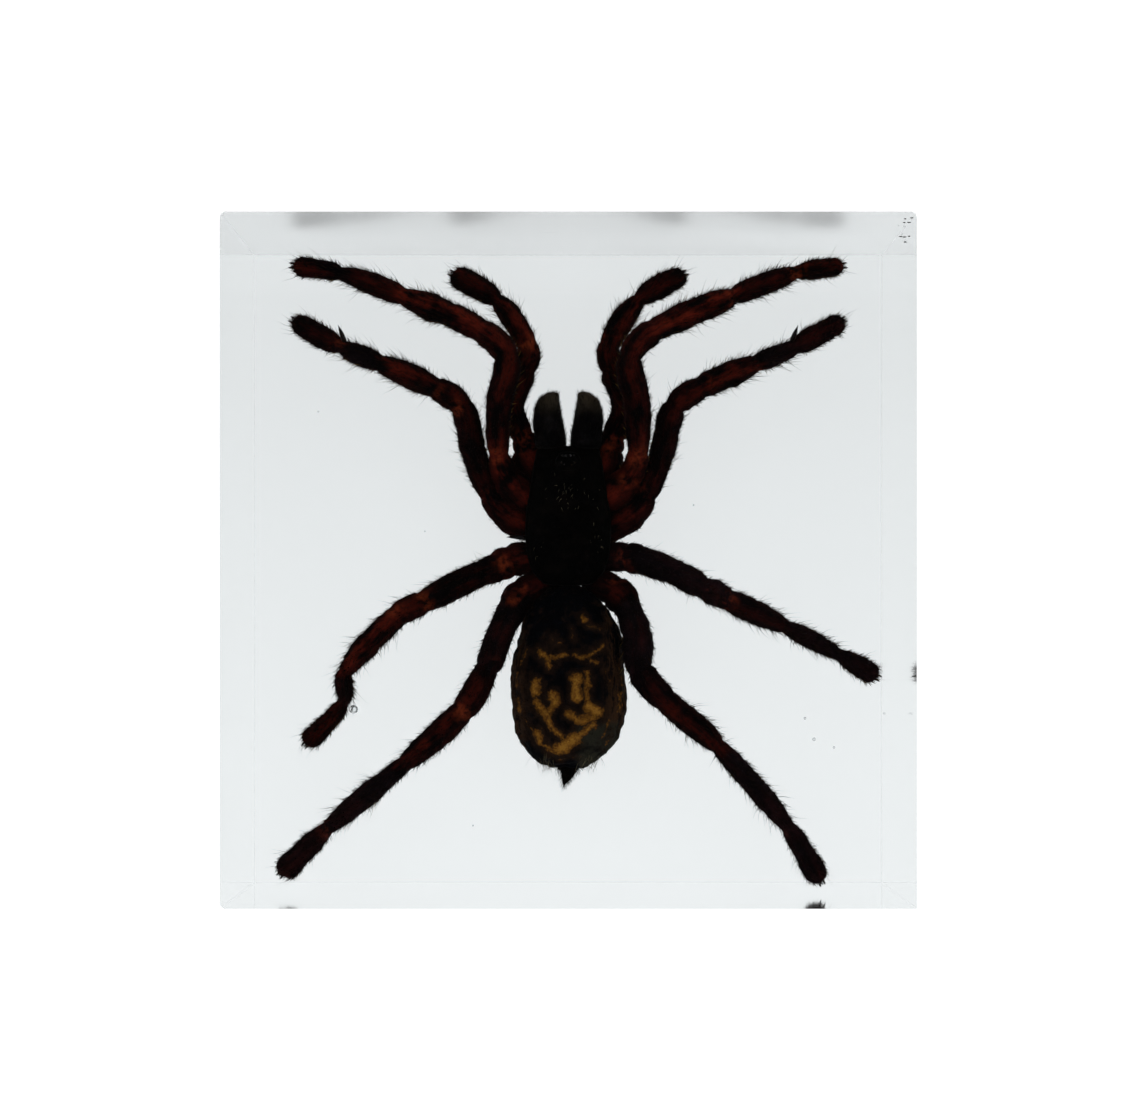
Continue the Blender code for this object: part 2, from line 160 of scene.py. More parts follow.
class Paint:
    """The node tree of one material or world, and the few ways in which it grows."""

    def __init__(self, owner: bpy.types.ID) -> None:
        """Empties the owner's tree.

        Args:
            owner: the material or world whose tree is emptied.
        """
        owner.use_nodes = True
        self.owner = owner
        self.tree = owner.node_tree
        self.tree.nodes.clear()

    def node(
        self,
        kind: str,
        settings: dict[str, Any] | None = None,
        sockets: dict[int | str, Any] | None = None,
        output: int | str = 0,
    ) -> Value:
        """Adds one node.

        Args:
            kind: the node's type.
            settings: its properties, and under "stops" a ramp's places and colours.
            sockets: values or links of its inputs.
            output: which of its outputs is returned.

        Returns:
            The chosen output.
        """
        made = self.tree.nodes.new(kind)
        for key, value in (settings or {}).items():
            if key != "stops":
                setattr(made, key, value)
                continue
            stops = made.color_ramp.elements
            while len(stops) < len(value):
                stops.new(1.0)
            for stop, (place, colour) in zip(stops, value):
                stop.position, stop.color = place, colour
        for key, value in (sockets or {}).items():
            if isinstance(value, Value):
                self.tree.links.new(value.socket, made.inputs[key])
            else:
                made.inputs[key].default_value = value
        return Value(self, made.outputs[output])

    def place(self) -> Value:
        """Object coordinates in millimetres.

        Returns:
            The coordinates.
        """
        at = self.node("ShaderNodeTexCoord", output="Object")
        sockets = {0: at, "Scale": 1.0 / MM}
        return self.node("ShaderNodeVectorMath", {"operation": "SCALE"}, sockets)

    def axis(self, vector: Value, letter: str) -> Value:
        """One coordinate of a vector."""
        return self.node("ShaderNodeSeparateXYZ", sockets={0: vector}, output=letter)

    def attribute(self, name: str, output: str = "Fac") -> Value:
        """A named attribute of the piece."""
        return self.node("ShaderNodeAttribute", {"attribute_name": name}, output=output)

    def length(self, vector: Value) -> Value:
        """How long a vector is."""
        return self.node("ShaderNodeVectorMath", {"operation": "LENGTH"}, {0: vector}, "Value")

    def stretched(self, vector: Value, by: Spot) -> Value:
        """The vector with each coordinate multiplied."""
        return self.node("ShaderNodeVectorMath", {"operation": "MULTIPLY"}, {0: vector, 1: by})

    def moved(self, vector: Value, by: Value, share: float) -> Value:
        """The vector pushed about by a colour pattern, by up to half of share each way.

        Args:
            vector: what is pushed.
            by: the pattern.
            share: how far it pushes, in the vector's unit.

        Returns:
            The pushed vector.
        """
        centred = self.node(
            "ShaderNodeVectorMath", {"operation": "SUBTRACT"}, {0: by, 1: (0.5, 0.5, 0.5)}
        )
        scaled = self.node(
            "ShaderNodeVectorMath", {"operation": "SCALE"}, {0: centred, "Scale": share}
        )
        return self.node("ShaderNodeVectorMath", {"operation": "ADD"}, {0: vector, 1: scaled})

    def noise(
        self, vector: Value, scale: float, detail: float = 4.0, rough: float = 0.55,
        output: str = "Fac",
    ) -> Value:
        """Noise whose grain is about 1 / scale of the vector's unit."""
        sockets = {"Vector": vector, "Scale": scale, "Detail": detail, "Roughness": rough}
        return self.node("ShaderNodeTexNoise", {}, sockets, output)

    def mix(self, share: Any, first: Any, second: Any) -> Value:
        """The first colour, with a share of the second."""
        sockets = {0: share, 6: first, 7: second}
        return self.node("ShaderNodeMix", {"data_type": "RGBA"}, sockets, 2)

    def ramp(self, share: Value, *stops: tuple[float, Colour]) -> Value:
        """Colours laid along 0 to 1."""
        return self.node("ShaderNodeValToRGB", {"stops": stops}, {0: share})

    def bump(self, height: Value, strength: float, depth: float) -> Value:
        """A bumped normal, depth in millimetres."""
        sockets = {"Height": height, "Strength": strength, "Distance": depth * MM}
        return self.node("ShaderNodeBump", {}, sockets)

    def principled(self, **sockets: Any) -> Value:
        """The surface shader, its sockets named with _ for a blank."""
        named = {key.replace("_", " "): value for key, value in sockets.items()}
        return self.node("ShaderNodeBsdfPrincipled", {}, named)

    def material(self, surface: Value, volume: Value | None = None) -> bpy.types.Material:
        """Ends the tree and returns its material.

        Args:
            surface: the surface shader.
            volume: the shader of its inside, if it has one.

        Returns:
            The material.
        """
        sockets = {"Surface": surface} | ({"Volume": volume} if volume else {})
        made = self.tree.nodes.new("ShaderNodeOutputMaterial")
        for key, value in sockets.items():
            self.tree.links.new(value.socket, made.inputs[key])
        return self.owner


def new_paint(name: str) -> Paint:
    """A paint on a new material."""
    return Paint(bpy.data.materials.new(name))


# ---------------------------------------------------------------------------
# Finishes
# ---------------------------------------------------------------------------


@dataclass(frozen=True)
class ClearResin:
    """Cast resin: a cool tint in its depth, a scuffed polish, dull walls and one duller.

    polish is the roughness of its faces. wall, back_wall and scuff are added to that on every
    wall, on the wall at the head end and in the scuffs. skin is how far in from a wall its
    roughness starts, and how far in it is full.
    """

    ior: float = 1.5
    glaze: Colour = (0.985, 0.992, 0.995, 1.0)
    tint: Colour = (0.11, 0.35, 0.395, 1.0)
    density: float = 4.6
    polish: float = 0.012
    wall: float = 0.08
    back_wall: float = 0.28
    scuff: float = 0.03
    skin: tuple[float, float] = (0.12, 0.02)

    def material(self) -> bpy.types.Material:
        """Builds the resin.

        Returns:
            The material.
        """
        paint = new_paint("cast_clear_resin")
        at = paint.place()
        x, y = (paint.axis(at, letter) for letter in "XY")
        near, far = (SLAB_SIDE / 2.0 - depth for depth in self.skin)
        wall = x.size().most(y.size()).eased(near, far) * self.wall
        back = y.eased(near, far) * self.back_wall
        scuffs = paint.noise(paint.stretched(at, (0.16, 2.6, 0.7)), 1.6, 2.0).eased(0.62, 0.78)
        surface = paint.principled(
            Base_Color=self.glaze,
            Roughness=wall + back + scuffs * self.scuff + self.polish,
            IOR=self.ior,
            Transmission_Weight=1.0,
        )
        volume = paint.node(
            "ShaderNodeVolumeAbsorption", {}, {"Color": self.tint, "Density": self.density}
        )
        return paint.material(surface, volume)


@dataclass(frozen=True)
class Shell:
    """Hard chitin, near black, with a brown cast and pitted grain."""

    name: str
    dark: Colour = rgb(3, 3, 3)
    warm: Colour = rgb(14, 10, 8)
    tip: Colour = rgb(16, 11, 8)
    tip_from: float = 100.0
    roughness: float = 0.3
    ior: float = SKIN_IOR

    def material(self) -> bpy.types.Material:
        """Builds the shell.

        Returns:
            The material.
        """
        paint = new_paint(self.name)
        at = paint.place()
        cloud = paint.noise(at, 0.55, 5.0, 0.6)
        grain = paint.noise(at, 5.5, 4.0, 0.65)
        colour = paint.mix(cloud.eased(0.42, 0.74), self.dark, self.warm)
        colour = paint.mix(grain.eased(0.55, 0.8) * 0.5, colour, self.warm)
        reach = paint.axis(at, "Y") + cloud * 1.5
        colour = paint.mix(reach.eased(self.tip_from, self.tip_from + 2.6), colour, self.tip)
        surface = paint.principled(
            Base_Color=colour,
            Roughness=self.roughness + grain * 0.25,
            IOR=self.ior,
            Normal=paint.bump(grain + cloud * 0.6, 0.6, 0.16),
        )
        return paint.material(surface)


@dataclass(frozen=True)
class LegSkin:
    """Dried leg skin, black-brown, with painted red light glowing through thin parts and joints.
    """

    dark: Colour = rgb(10, 6, 7)
    # Painted light: warm is the red glow through thin skin, joint the orange glow at joints.
    warm: Colour = rgb(111, 36, 23)
    joint: Colour = rgb(150, 62, 34)
    foot: Colour = rgb(38, 27, 32)

    def material(self) -> bpy.types.Material:
        """Builds the skin from the coordinates that a limb carries along its length.

        Returns:
            The material.
        """
        paint = new_paint("dried_leg_skin")
        at = paint.place()
        skin = paint.attribute("skin", "Vector")
        warmth = paint.attribute("warmth")
        joint = paint.attribute("joint")
        streaks = paint.noise(paint.stretched(skin, (0.16, 0.9, 0.9)), 1.1, 5.0, 0.6)
        across = paint.axis(skin, "Y")
        core = across.size().eased(1.3, 0.35, 0.25, 1.0)
        cloud = paint.noise(at, 0.35, 3.0)
        grain = paint.noise(at, 4.5, 4.0, 0.65)
        # Painted light: a red glow through the middle of each segment, as much as warmth says.
        glow = (streaks * 0.6 + cloud * 0.4).eased(0.4, 0.62) * warmth * core
        colour = paint.mix(glow, self.dark, self.warm)
        # Painted light: an orange glow through some of the joints.
        chosen = paint.noise(at, 0.11, 1.0).eased(0.5, 0.56)
        patchy = paint.noise(at, 0.8, 3.0).eased(0.4, 0.6)
        colour = paint.mix(joint * chosen * patchy * core * 0.6, colour, self.joint)
        colour = paint.mix(warmth.eased(0.3, 0.15) * cloud * 0.7, colour, self.foot)
        colour = paint.mix(grain.eased(0.5, 0.75) * 0.5, colour, self.dark)
        pores = paint.node(
            "ShaderNodeTexVoronoi", {"feature": "F1"}, {"Vector": at, "Scale": 5.0}, "Distance"
        )
        surface = paint.principled(
            Base_Color=colour,
            Roughness=0.5 + grain * 0.3,
            IOR=SKIN_IOR,
            Normal=paint.bump(streaks + grain * 0.5 + pores * 0.5, 0.7, 0.14),
        )
        return paint.material(surface)


class Stroke(NamedTuple):
    """One round-ended stroke on the abdomen, its half-width and its strength; most are pale marks,
    one a painted highlight.
    """

    start: tuple[float, float]
    end: tuple[float, float]
    half: float
    strength: float = 1.0


@dataclass(frozen=True)
class AbdomenSkin:
    """Thin skin over the abdomen: blue-black, with ochre blotches, one painted highlight and brown
    flanks.
    """

    dark: Colour = rgb(5, 6, 10)
    brown: Colour = rgb(60, 40, 26)
    umber: Colour = rgb(58, 39, 20)
    ochre: Colour = rgb(116, 74, 26)
    gold: Colour = rgb(178, 122, 48)
    moss: Colour = rgb(46, 44, 36)
    strokes: tuple[Stroke, ...] = tuple(Stroke(*row) for row in (
        ((-3.2, -9.8), (-2.2, -10.8), 0.35), ((-2.2, -10.6), (-0.3, -10.2), 0.28, 0.9),
        ((-2.4, -10.8), (-2.1, -11.5), 0.45, 0.6), ((0.7, -10.2), (2.2, -10.4), 0.28, 0.8),
        # The first stroke on the next line, from (2.2, -10.3) to (3.9, -9.2), is a painted
        # highlight.
        ((2.2, -10.3), (3.9, -9.2), 0.22, 0.9), ((2.6, -10.9), (3.1, -11.2), 0.4, 0.45),
        ((-3.7, -13.4), (-3.6, -14.3), 0.6), ((-3.5, -15.6), (-2.4, -16.9), 0.42),
        ((-2.4, -16.9), (-1.8, -18.4), 0.4), ((-1.8, -18.4), (-0.6, -19.4), 0.4, 0.9),
        ((-1.7, -14.9), (-1.6, -15.6), 0.6), ((-1.6, -15.6), (-2.2, -16.7), 0.45, 0.9),
        ((0.9, -13.0), (1.0, -14.9), 0.7, 0.9), ((2.1, -12.3), (2.2, -15.3), 0.3),
        ((2.2, -16.0), (3.2, -16.7), 0.75, 0.9), ((0.0, -16.7), (1.0, -17.6), 0.45, 0.9),
        ((1.0, -17.6), (2.7, -17.2), 0.5, 0.9), ((2.9, -17.9), (1.0, -19.5), 0.45),
        ((1.0, -19.5), (-1.0, -20.9), 0.7), ((-3.5, -19.0), (-3.1, -19.9), 0.5),
        ((-3.1, -19.9), (-1.5, -21.3), 0.35, 0.7), ((-4.7, -9.7), (-5.3, -11.4), 0.2, 0.45),
        ((-5.7, -12.1), (-5.9, -13.7), 0.25, 0.5), ((-5.7, -15.3), (-5.4, -16.5), 0.3, 0.7),
        ((-4.7, -17.6), (-3.6, -19.2), 0.2, 0.5), ((1.7, -5.9), (1.8, -6.2), 0.35, 0.75),
        ((2.1, -6.9), (3.8, -7.4), 0.2, 0.55), ((0.4, -7.2), (0.5, -8.6), 0.2, 0.45),
        ((-1.7, -8.6), (-0.8, -8.9), 0.2, 0.4), ((4.2, -11.9), (4.7, -13.7), 0.15, 0.5),
        ((5.7, -11.4), (6.0, -13.7), 0.2, 0.55), ((5.9, -14.6), (5.7, -16.7), 0.25, 0.6),
        ((4.7, -17.6), (3.8, -19.7), 0.2, 0.5), ((5.2, -18.8), (4.0, -20.9), 0.15, 0.45),
        ((-1.0, -22.0), (0.8, -21.6), 0.12, 0.4), ((0.8, -21.6), (2.4, -22.0), 0.12, 0.4),
    ))
    lungs: tuple[Spot, ...] = (
        (-2.9, -6.2, 7.6), (-2.9, -9.6, 7.6), (2.9, -6.2, 7.6), (2.9, -9.6, 7.6)
    )

    @staticmethod
    def lung(paint: Paint, at: Value, place: Spot) -> Value:
        """1 on the plate over one book lung, under the abdomen.

        Args:
            paint: the material's paint.
            at: the place, in millimetres.
            place: the plate's middle.

        Returns:
            The mask, with soft edges.
        """
        sockets = {"Vector": at, "Location": place, "Scale": (1.15, 0.8, 3.0)}
        local = paint.node("ShaderNodeMapping", {"vector_type": "TEXTURE"}, sockets)
        return paint.length(local).eased(1.15, 0.85)

    @staticmethod
    def within(paint: Paint, flat: Value, stroke: Stroke) -> Value:
        """How far inside a stroke a place is, in half-millimetres and less for a weak stroke.

        Args:
            paint: the material's paint.
            flat: the place with no height.
            stroke: the mark.

        Returns:
            A value that is over 0 inside the mark.
        """
        (x1, y1), (x2, y2) = stroke.start, stroke.end
        sockets = {
            "Vector": flat,
            "Location": ((x1 + x2) / 2.0, (y1 + y2) / 2.0, 0.0),
            "Rotation": (0.0, 0.0, math.atan2(y2 - y1, x2 - x1)),
        }
        local = paint.node("ShaderNodeMapping", {"vector_type": "TEXTURE"}, sockets)
        reach = (math.hypot(x2 - x1, y2 - y1) / 2.0, 0.0, 0.0)
        for operation, by in (("ABSOLUTE", None), ("SUBTRACT", reach), ("MAXIMUM", (0.0,) * 3)):
            sockets = {0: local} if by is None else {0: local, 1: by}
            local = paint.node("ShaderNodeVectorMath", {"operation": operation}, sockets)
        return (stroke.half - paint.length(local)) * 2.0 + (stroke.strength - 1.0) * 0.8

    def material(self) -> bpy.types.Material:
        """Builds the skin. The marks' edges are broken up by noise.

        Returns:
            The material.
        """
        paint = new_paint("mottled_abdomen_skin")
        at = paint.place()
        torn = paint.moved(at, paint.noise(at, 0.7, 2.0, 0.5, "Color"), 0.9)
        torn = paint.moved(torn, paint.noise(at, 2.2, 3.0, 0.6, "Color"), 0.6)
        flat = paint.stretched(torn, (1.0, 1.0, 0.0))
        near = reduce(Value.most, [self.within(paint, flat, stroke) for stroke in self.strokes])
        frayed = near + (paint.noise(at, 1.3, 5.0, 0.6) - 0.4) * 1.7
        patches = frayed.eased(-0.15, 0.25)
        halo = frayed.eased(-1.6, -0.2)
        cloud = paint.noise(at, 0.6, 5.0, 0.6)
        grain = paint.noise(at, 4.0, 4.0, 0.65)
        ridges = paint.noise(paint.stretched(torn, (2.3, 0.28, 1.3)), 1.0, 4.0, 0.65)
        x, y, z = (paint.axis(at, letter) for letter in "XYZ")
        flank = x.eased(3.3, 5.2) * y.eased(-21.0, -17.5)
        left = x.eased(-4.2, -5.6) * 0.8
        rims = flank.most(left) * ridges.eased(0.42, 0.58)
        above = z.eased(11.2, 12.6)
        colour = paint.mix(cloud.eased(0.5, 0.75) * 0.5, self.dark, self.brown)
        colour = paint.mix(rims, colour, self.brown)
        colour = paint.mix(halo * above * 0.3, colour, self.brown)
        mossy = x.eased(0.4, 2.0) * y.eased(-17.2, -18.6)
        colour = paint.mix(mossy * cloud.eased(0.3, 0.6), colour, self.moss)
        tone = frayed * 0.4 + 0.34 + (grain - 0.5) * 1.0
        marks = paint.ramp(tone, (0.3, self.umber), (0.55, self.ochre), (0.95, self.gold))
        colour = paint.mix(patches * above * (0.55 + grain * 0.6), colour, marks)
        lungs = [self.lung(paint, torn, place) for place in self.lungs]
        colour = paint.mix(reduce(Value.most, lungs) * (1.0 - above) * 0.7, colour, self.umber)
        surface = paint.principled(
            Base_Color=colour,
            Roughness=0.4 + grain * 0.3,
            IOR=SKIN_IOR,
            Normal=paint.bump(ridges * 0.8 + cloud + grain * 0.35, 0.8, 0.3),
        )
        return paint.material(surface)


@dataclass(frozen=True)
class Hair:
    """Setae: a map of tone against reach, from black roots to straw tips."""

    name: str
    dark: Colour = rgb(9, 6, 5)
    brown: Colour = rgb(44, 26, 16)
    straw: Colour = rgb(146, 120, 54)

    def material(self) -> bpy.types.Material:
        """Builds the hair's finish.

        Returns:
            The material.
        """
        paint = new_paint(self.name)
        tone = paint.attribute("tone")
        reach = paint.attribute("reach")
        patchy = paint.noise(paint.place(), 0.5, 3.0)
        share = tone + reach * 0.2 + (patchy - 0.5) * 0.5
        colour = paint.ramp(share, (0.15, self.dark), (0.55, self.brown), (1.0, self.straw))
        surface = paint.principled(
            Base_Color=colour, Roughness=0.5 - reach * 0.1, IOR=SKIN_IOR
        )
        return paint.material(surface)


class Palette:
    """Every finish of the object, made once."""

    def __init__(self) -> None:
        """Builds the materials."""
        self.resin = ClearResin().material()
        self.shell = Shell("black_shell").material()
        self.jaw = Shell(
            "jaw_shell", dark=rgb(6, 6, 8), warm=rgb(28, 25, 26), tip=rgb(56, 48, 38),
            tip_from=16.9,
        ).material()
        self.fang = Shell(
            "polished_fang", dark=rgb(10, 5, 4), warm=rgb(46, 14, 8), roughness=0.2, ior=1.3
        ).material()
        self.eye = Shell(
            "eye_lens", dark=rgb(10, 8, 8), warm=rgb(48, 30, 14), roughness=0.08, ior=1.35
        ).material()
        self.plate = Shell(
            "sternum_plate", dark=rgb(10, 7, 6), warm=rgb(38, 22, 15), roughness=0.5
        ).material()
        self.leg = LegSkin().material()
        self.abdomen = AbdomenSkin().material()
        self.leg_hair = Hair("leg_setae").material()
        self.body_hair = Hair(
            "body_setae", brown=rgb(26, 20, 14), straw=rgb(116, 108, 84)
        ).material()


# ---------------------------------------------------------------------------
# Making pieces
# ---------------------------------------------------------------------------


def linked(name: str, data: bpy.types.ID) -> bpy.types.Object:
    """A new object in the scene.

    Args:
        name: the object's name.
        data: its mesh or camera.

    Returns:
        The object.
    """
    made = bpy.data.objects.new(name, data)
    bpy.context.scene.collection.objects.link(made)
    return made


def settle(
    piece: bpy.types.Object, slot: Slot, stands_for: Sequence[str] = ()
) -> bpy.types.Object:
    """Puts a finished piece on the object's one body.

    Args:
        piece: the piece, in metres and in place.
        slot: the record's slot, whose name is logged with the piece.
        stands_for: the frame's nodes that it replaces.

    Returns:
        The piece.
    """
    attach(piece, BODY)
    if stands_for:
        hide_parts(*stands_for)
    LOG.info("%s: %d faces, %s", piece.name, len(piece.data.polygons), slot.value)
    return piece


def order_faces(bm: bmesh.types.BMesh) -> None:
    """Puts the faces in the order of their vertices, since an extrusion's own order varies.

    Args:
        bm: the mesh.
    """
    bm.verts.index_update()
    count = len(bm.verts)

    def rank(face: bmesh.types.BMFace) -> int:
        """A number that no other face has, from the face's lowest, highest and other vertices."""
        marks = [vert.index for vert in face.verts]
        return (max(marks) * count + min(marks)) * 4 * count + sum(marks)

    bm.faces.sort(key=rank)


def to_piece(
    bm: bmesh.types.BMesh, name: str, material: bpy.types.Material, outward: bool = True
) -> bpy.types.Object:
    """Turns a bmesh in millimetres into a smooth object in metres.

    Args:
        bm: the mesh, which is freed.
        name: the piece's name.
        material: its finish.
        outward: whether the normals are worked out again first.

    Returns:
        The object, linked to the scene.
    """
    if outward:
        bmesh.ops.recalc_face_normals(bm, faces=bm.faces)
        for face in bm.faces:
            face.smooth = True
    order_faces(bm)
    bmesh.ops.scale(bm, vec=(MM, MM, MM), verts=bm.verts)
    mesh = bpy.data.meshes.new(name)
    bm.to_mesh(mesh)
    bm.free()
    mesh.materials.append(material)
    return linked(name, mesh)


@dataclass
class Ring:
    """One cross-section of a lofted form, with what its skin carries there."""

    centre: Vector
    side: Vector
    up: Vector
    down: Vector
    lay: Vector
    along: float = 0.0
    joint: float = 0.0
    warmth: float = 0.5
    growth: float = 1.0
    nap: float = 0.8
    bristle: float = 0.0
    brush: float = 0.0

    def point(self, angle: float) -> Vector:
        """The place at an angle, which is 0 at the side and a quarter turn on top.

        Args:
            angle: the angle in radians.

        Returns:
            The place in millimetres.
        """
        rise = math.sin(angle)
        lift = self.up * rise if rise >= 0.0 else self.down * -rise
        return self.centre + self.side * math.cos(angle) + lift


FLOAT_LAYERS = ("joint", "warmth", "growth", "nap", "bristle")
Relief = Callable[[Vector, Vector], float]


def loft(bm: bmesh.types.BMesh, rings: Sequence[Ring], sides: int) -> list[bmesh.types.BMVert]:
    """Sweeps a circle through the rings by extruding it, and closes both ends in a pole.

    Args:
        bm: the mesh that the form is added to.
        rings: the cross-sections in order. The first and last give the poles' places.
        sides: the number of points on each ring.

    Returns:
        The form's vertices.
    """
    turn = bm.verts.layers.float.get("turn") or bm.verts.layers.float.new("turn")
    layers = {
        n: bm.verts.layers.float.get(n) or bm.verts.layers.float.new(n) for n in FLOAT_LAYERS
    }
    vectors = {
        n: bm.verts.layers.float_vector.get(n) or bm.verts.layers.float_vector.new(n)
        for n in ("skin", "lay")
    }
    verts = bmesh.ops.create_circle(bm, segments=sides, radius=1.0)["verts"]
    for vert in verts:
        vert[turn] = math.atan2(vert.co.y, vert.co.x)
    edges = list(dict.fromkeys(edge for vert in verts for edge in vert.link_edges))
    ends, made = [verts], []
    for number, ring in enumerate(rings):
        if number:
            grown = bmesh.ops.extrude_edge_only(bm, edges=edges)["geom"]
            verts = [g for g in grown if isinstance(g, bmesh.types.BMVert)]
            fresh = set(verts)
            edges = [
                g for g in grown if isinstance(g, bmesh.types.BMEdge) and fresh.issuperset(g.verts)
            ]
        for vert in verts:
            angle = vert[turn]
            under = max(0.0, -math.sin(angle))
            vert.co = ring.point(angle)
            vert[vectors["skin"]] = (
                ring.along, ring.side.length * math.cos(angle), ring.up.length * math.sin(angle)
            )
            vert[vectors["lay"]] = ring.lay
            vert[layers["joint"]] = ring.joint
            vert[layers["warmth"]] = ring.warmth
            vert[layers["growth"]] = ring.growth * (1.0 + ring.brush * under)
            vert[layers["nap"]] = ring.nap * (1.0 - 0.3 * ring.brush * under)
            vert[layers["bristle"]] = ring.bristle
        made.extend(verts)
    ends.append(verts)
    for end, ring in zip(ends, (rings[0], rings[-1])):
        bmesh.ops.pointmerge(bm, verts=end, merge_co=ring.centre)
    return [vert for vert in made if vert.is_valid]


def push(bm: bmesh.types.BMesh, verts: Iterable[bmesh.types.BMVert], relief: Relief) -> None:
    """Moves vertices along their normals.

    Args:
        bm: the mesh.
        verts: the vertices to move.
        relief: the rise at a place and its skin coordinates, in millimetres.
    """
    bmesh.ops.recalc_face_normals(bm, faces=bm.faces)
    bm.normal_update()
    skin = bm.verts.layers.float_vector["skin"]
    moves = [(vert, vert.normal * relief(vert.co, Vector(vert[skin]))) for vert in verts]
    for vert, move in moves:
        vert.co += move


def bell(distance: float, width: float) -> float:
    """1 at no distance, falling smoothly to nothing over about twice the width."""
    return math.exp(-((distance / width) ** 2))


def rounded(distance: float, reach: float) -> float:
    """The share of its width that a rounded end has at a distance, full from reach on."""
    return math.sqrt(max(1.0 - (1.0 - min(distance / reach, 1.0)) ** 2, 0.0004))


class Station(NamedTuple):
    """A cross-section of a body form: its middle, half-width, and reach up and down."""

    y: float
    x: float
    z: float
    half: float
    up: float
    down: float


@dataclass
class BodyForm:
    """A rounded form whose cross-sections stand square to the spider's length."""

    stations: tuple[Station, ...]
    sides: int = 48
    steps: int = 6
    growth: float = 1.0
    nap: float = 0.6
    lay: Vector = field(default_factory=lambda: Vector((0.0, -1.0, 0.0)))

    def at(self, span: int, share: float) -> Station:
        """The smoothly blended station at a share of the way along one span.

        Args:
            span: which pair of stations, from 0.
            share: how far from the first to the second.

        Returns:
            The blended station.
        """
        last = len(self.stations) - 2
        a, b = np.array(self.stations[span]), np.array(self.stations[span + 1])
        if span in (0, last):
            round_end = math.sqrt(1.0 - (1.0 - share) ** 2) if span == 0 else math.sqrt(
                max(0.0, 1.0 - share**2)
            )
            full = b if span == 0 else a
            middle = a[:3] + (b[:3] - a[:3]) * share
            return Station(*middle, *(full[3:] * round_end))
        before = np.array(self.stations[span - 1]) if span > 1 else a
        after = np.array(self.stations[span + 2]) if span < last - 1 else b
        u = share
        smooth = 0.5 * (
            2.0 * a + (b - before) * u + (2.0 * before - 5.0 * a + 4.0 * b - after) * u * u
            + (3.0 * a - before - 3.0 * b + after) * u**3
        )
        return Station(*smooth)

    def rings(self) -> list[Ring]:
        """The form's cross-sections, finest at its ends.

        Returns:
            The cross-sections in order.
        """
        made: list[Ring] = []
        spans = len(self.stations) - 1
        for span in range(spans):
            last = span == spans - 1
            shares = [k / self.steps for k in range(self.steps + last)]
            if span == 0:
                shares = [1.0 - math.cos(s * math.pi / 2.0) for s in shares]
            elif last:
                shares = [math.sin(s * math.pi / 2.0) for s in shares]
            for share in shares:
                s = self.at(span, share)
                made.append(Ring(
                    Vector((s.x, s.y, s.z)), Vector((s.half, 0.0, 0.0)), Vector((0.0, 0.0, s.up)),
                    Vector((0.0, 0.0, -s.down)), self.lay, s.y, growth=self.growth, nap=self.nap,
                ))
        return made

    def add(self, bm: bmesh.types.BMesh) -> list[bmesh.types.BMVert]:
        """Adds the form to a mesh and returns its vertices."""
        return loft(bm, self.rings(), self.sides)


def bent_path(points: Sequence[Vector], pitch: float) -> list[tuple[int, float, Vector]]:
    """A smooth curve through points.

    Args:
        points: the places that it passes.
        pitch: about how far apart its own points are.

    Returns:
        For each point of the curve its span, its share of the way along that and its place.
    """
    last = len(points) - 1
    headings = [
        (points[min(i + 1, last)] - points[max(i - 1, 0)]).normalized() for i in range(last + 1)
    ]
    path: list[tuple[int, float, Vector]] = []
    for i in range(last):
        reach = (points[i + 1] - points[i]).length
        steps = max(4, round(reach / pitch))
        curve = geometry.interpolate_bezier(
            points[i], points[i] + headings[i] * reach / 3.0,
            points[i + 1] - headings[i + 1] * reach / 3.0, points[i + 1], steps + 1,
        )
        kept = curve if i == last - 1 else curve[:-1]
        path.extend((i, k / steps, Vector(place)) for k, place in enumerate(kept))
    return path


def tube_rings(path: Sequence[tuple[int, float, Vector]], halves: Sequence[float]) -> list[Ring]:
    """Round cross-sections square to a path.

    Args:
        path: a curve from bent_path.
        halves: the radius at each of its points.

    Returns:
        One ring for each point.
    """
    places = [place for _, _, place in path]
    last = len(places) - 1
    rings: list[Ring] = []
    along = 0.0
    for i, place in enumerate(places):
        heading = (places[min(i + 1, last)] - places[max(i - 1, 0)]).normalized()
        side = heading.cross(Vector((0.0, 0.0, 1.0))).normalized()
        up = side.cross(heading).normalized()
        along += (place - places[i - 1]).length if i else 0.0
        half = halves[i]
        rings.append(Ring(place, side * half, up * half, up * -half, heading, along))
    return rings


def taper(path: Sequence[tuple[int, float, Vector]], widths: Sequence[float]) -> list[float]:
    """The radius along a path whose width is given at each of its points, rounded at both ends.

    Args:
        path: a curve from bent_path.
        widths: the width at each point that the curve was made through.

    Returns:
        The radius at each of the curve's own points.
    """
    halves = [(widths[i] + (widths[i + 1] - widths[i]) * u) / 2.0 for i, u, _ in path]
    total = len(halves)
    for k in range(min(3, total)):
        shrink = math.sqrt(k / 3.0)
        halves[k] *= max(shrink, 0.02)
        halves[total - 1 - k] *= max(shrink, 0.02)
    return halves


def swept(
    bm: bmesh.types.BMesh, points: Sequence[Spot], widths: Sequence[float], pitch: float,
    sides: int,
) -> list[bmesh.types.BMVert]:
    """Adds a bent, tapered rod to a mesh and returns its vertices."""
    path = bent_path([Vector(p) for p in points], pitch)
    return loft(bm, tube_rings(path, taper(path, widths)), sides)


# ---------------------------------------------------------------------------
# Hairs
# ---------------------------------------------------------------------------


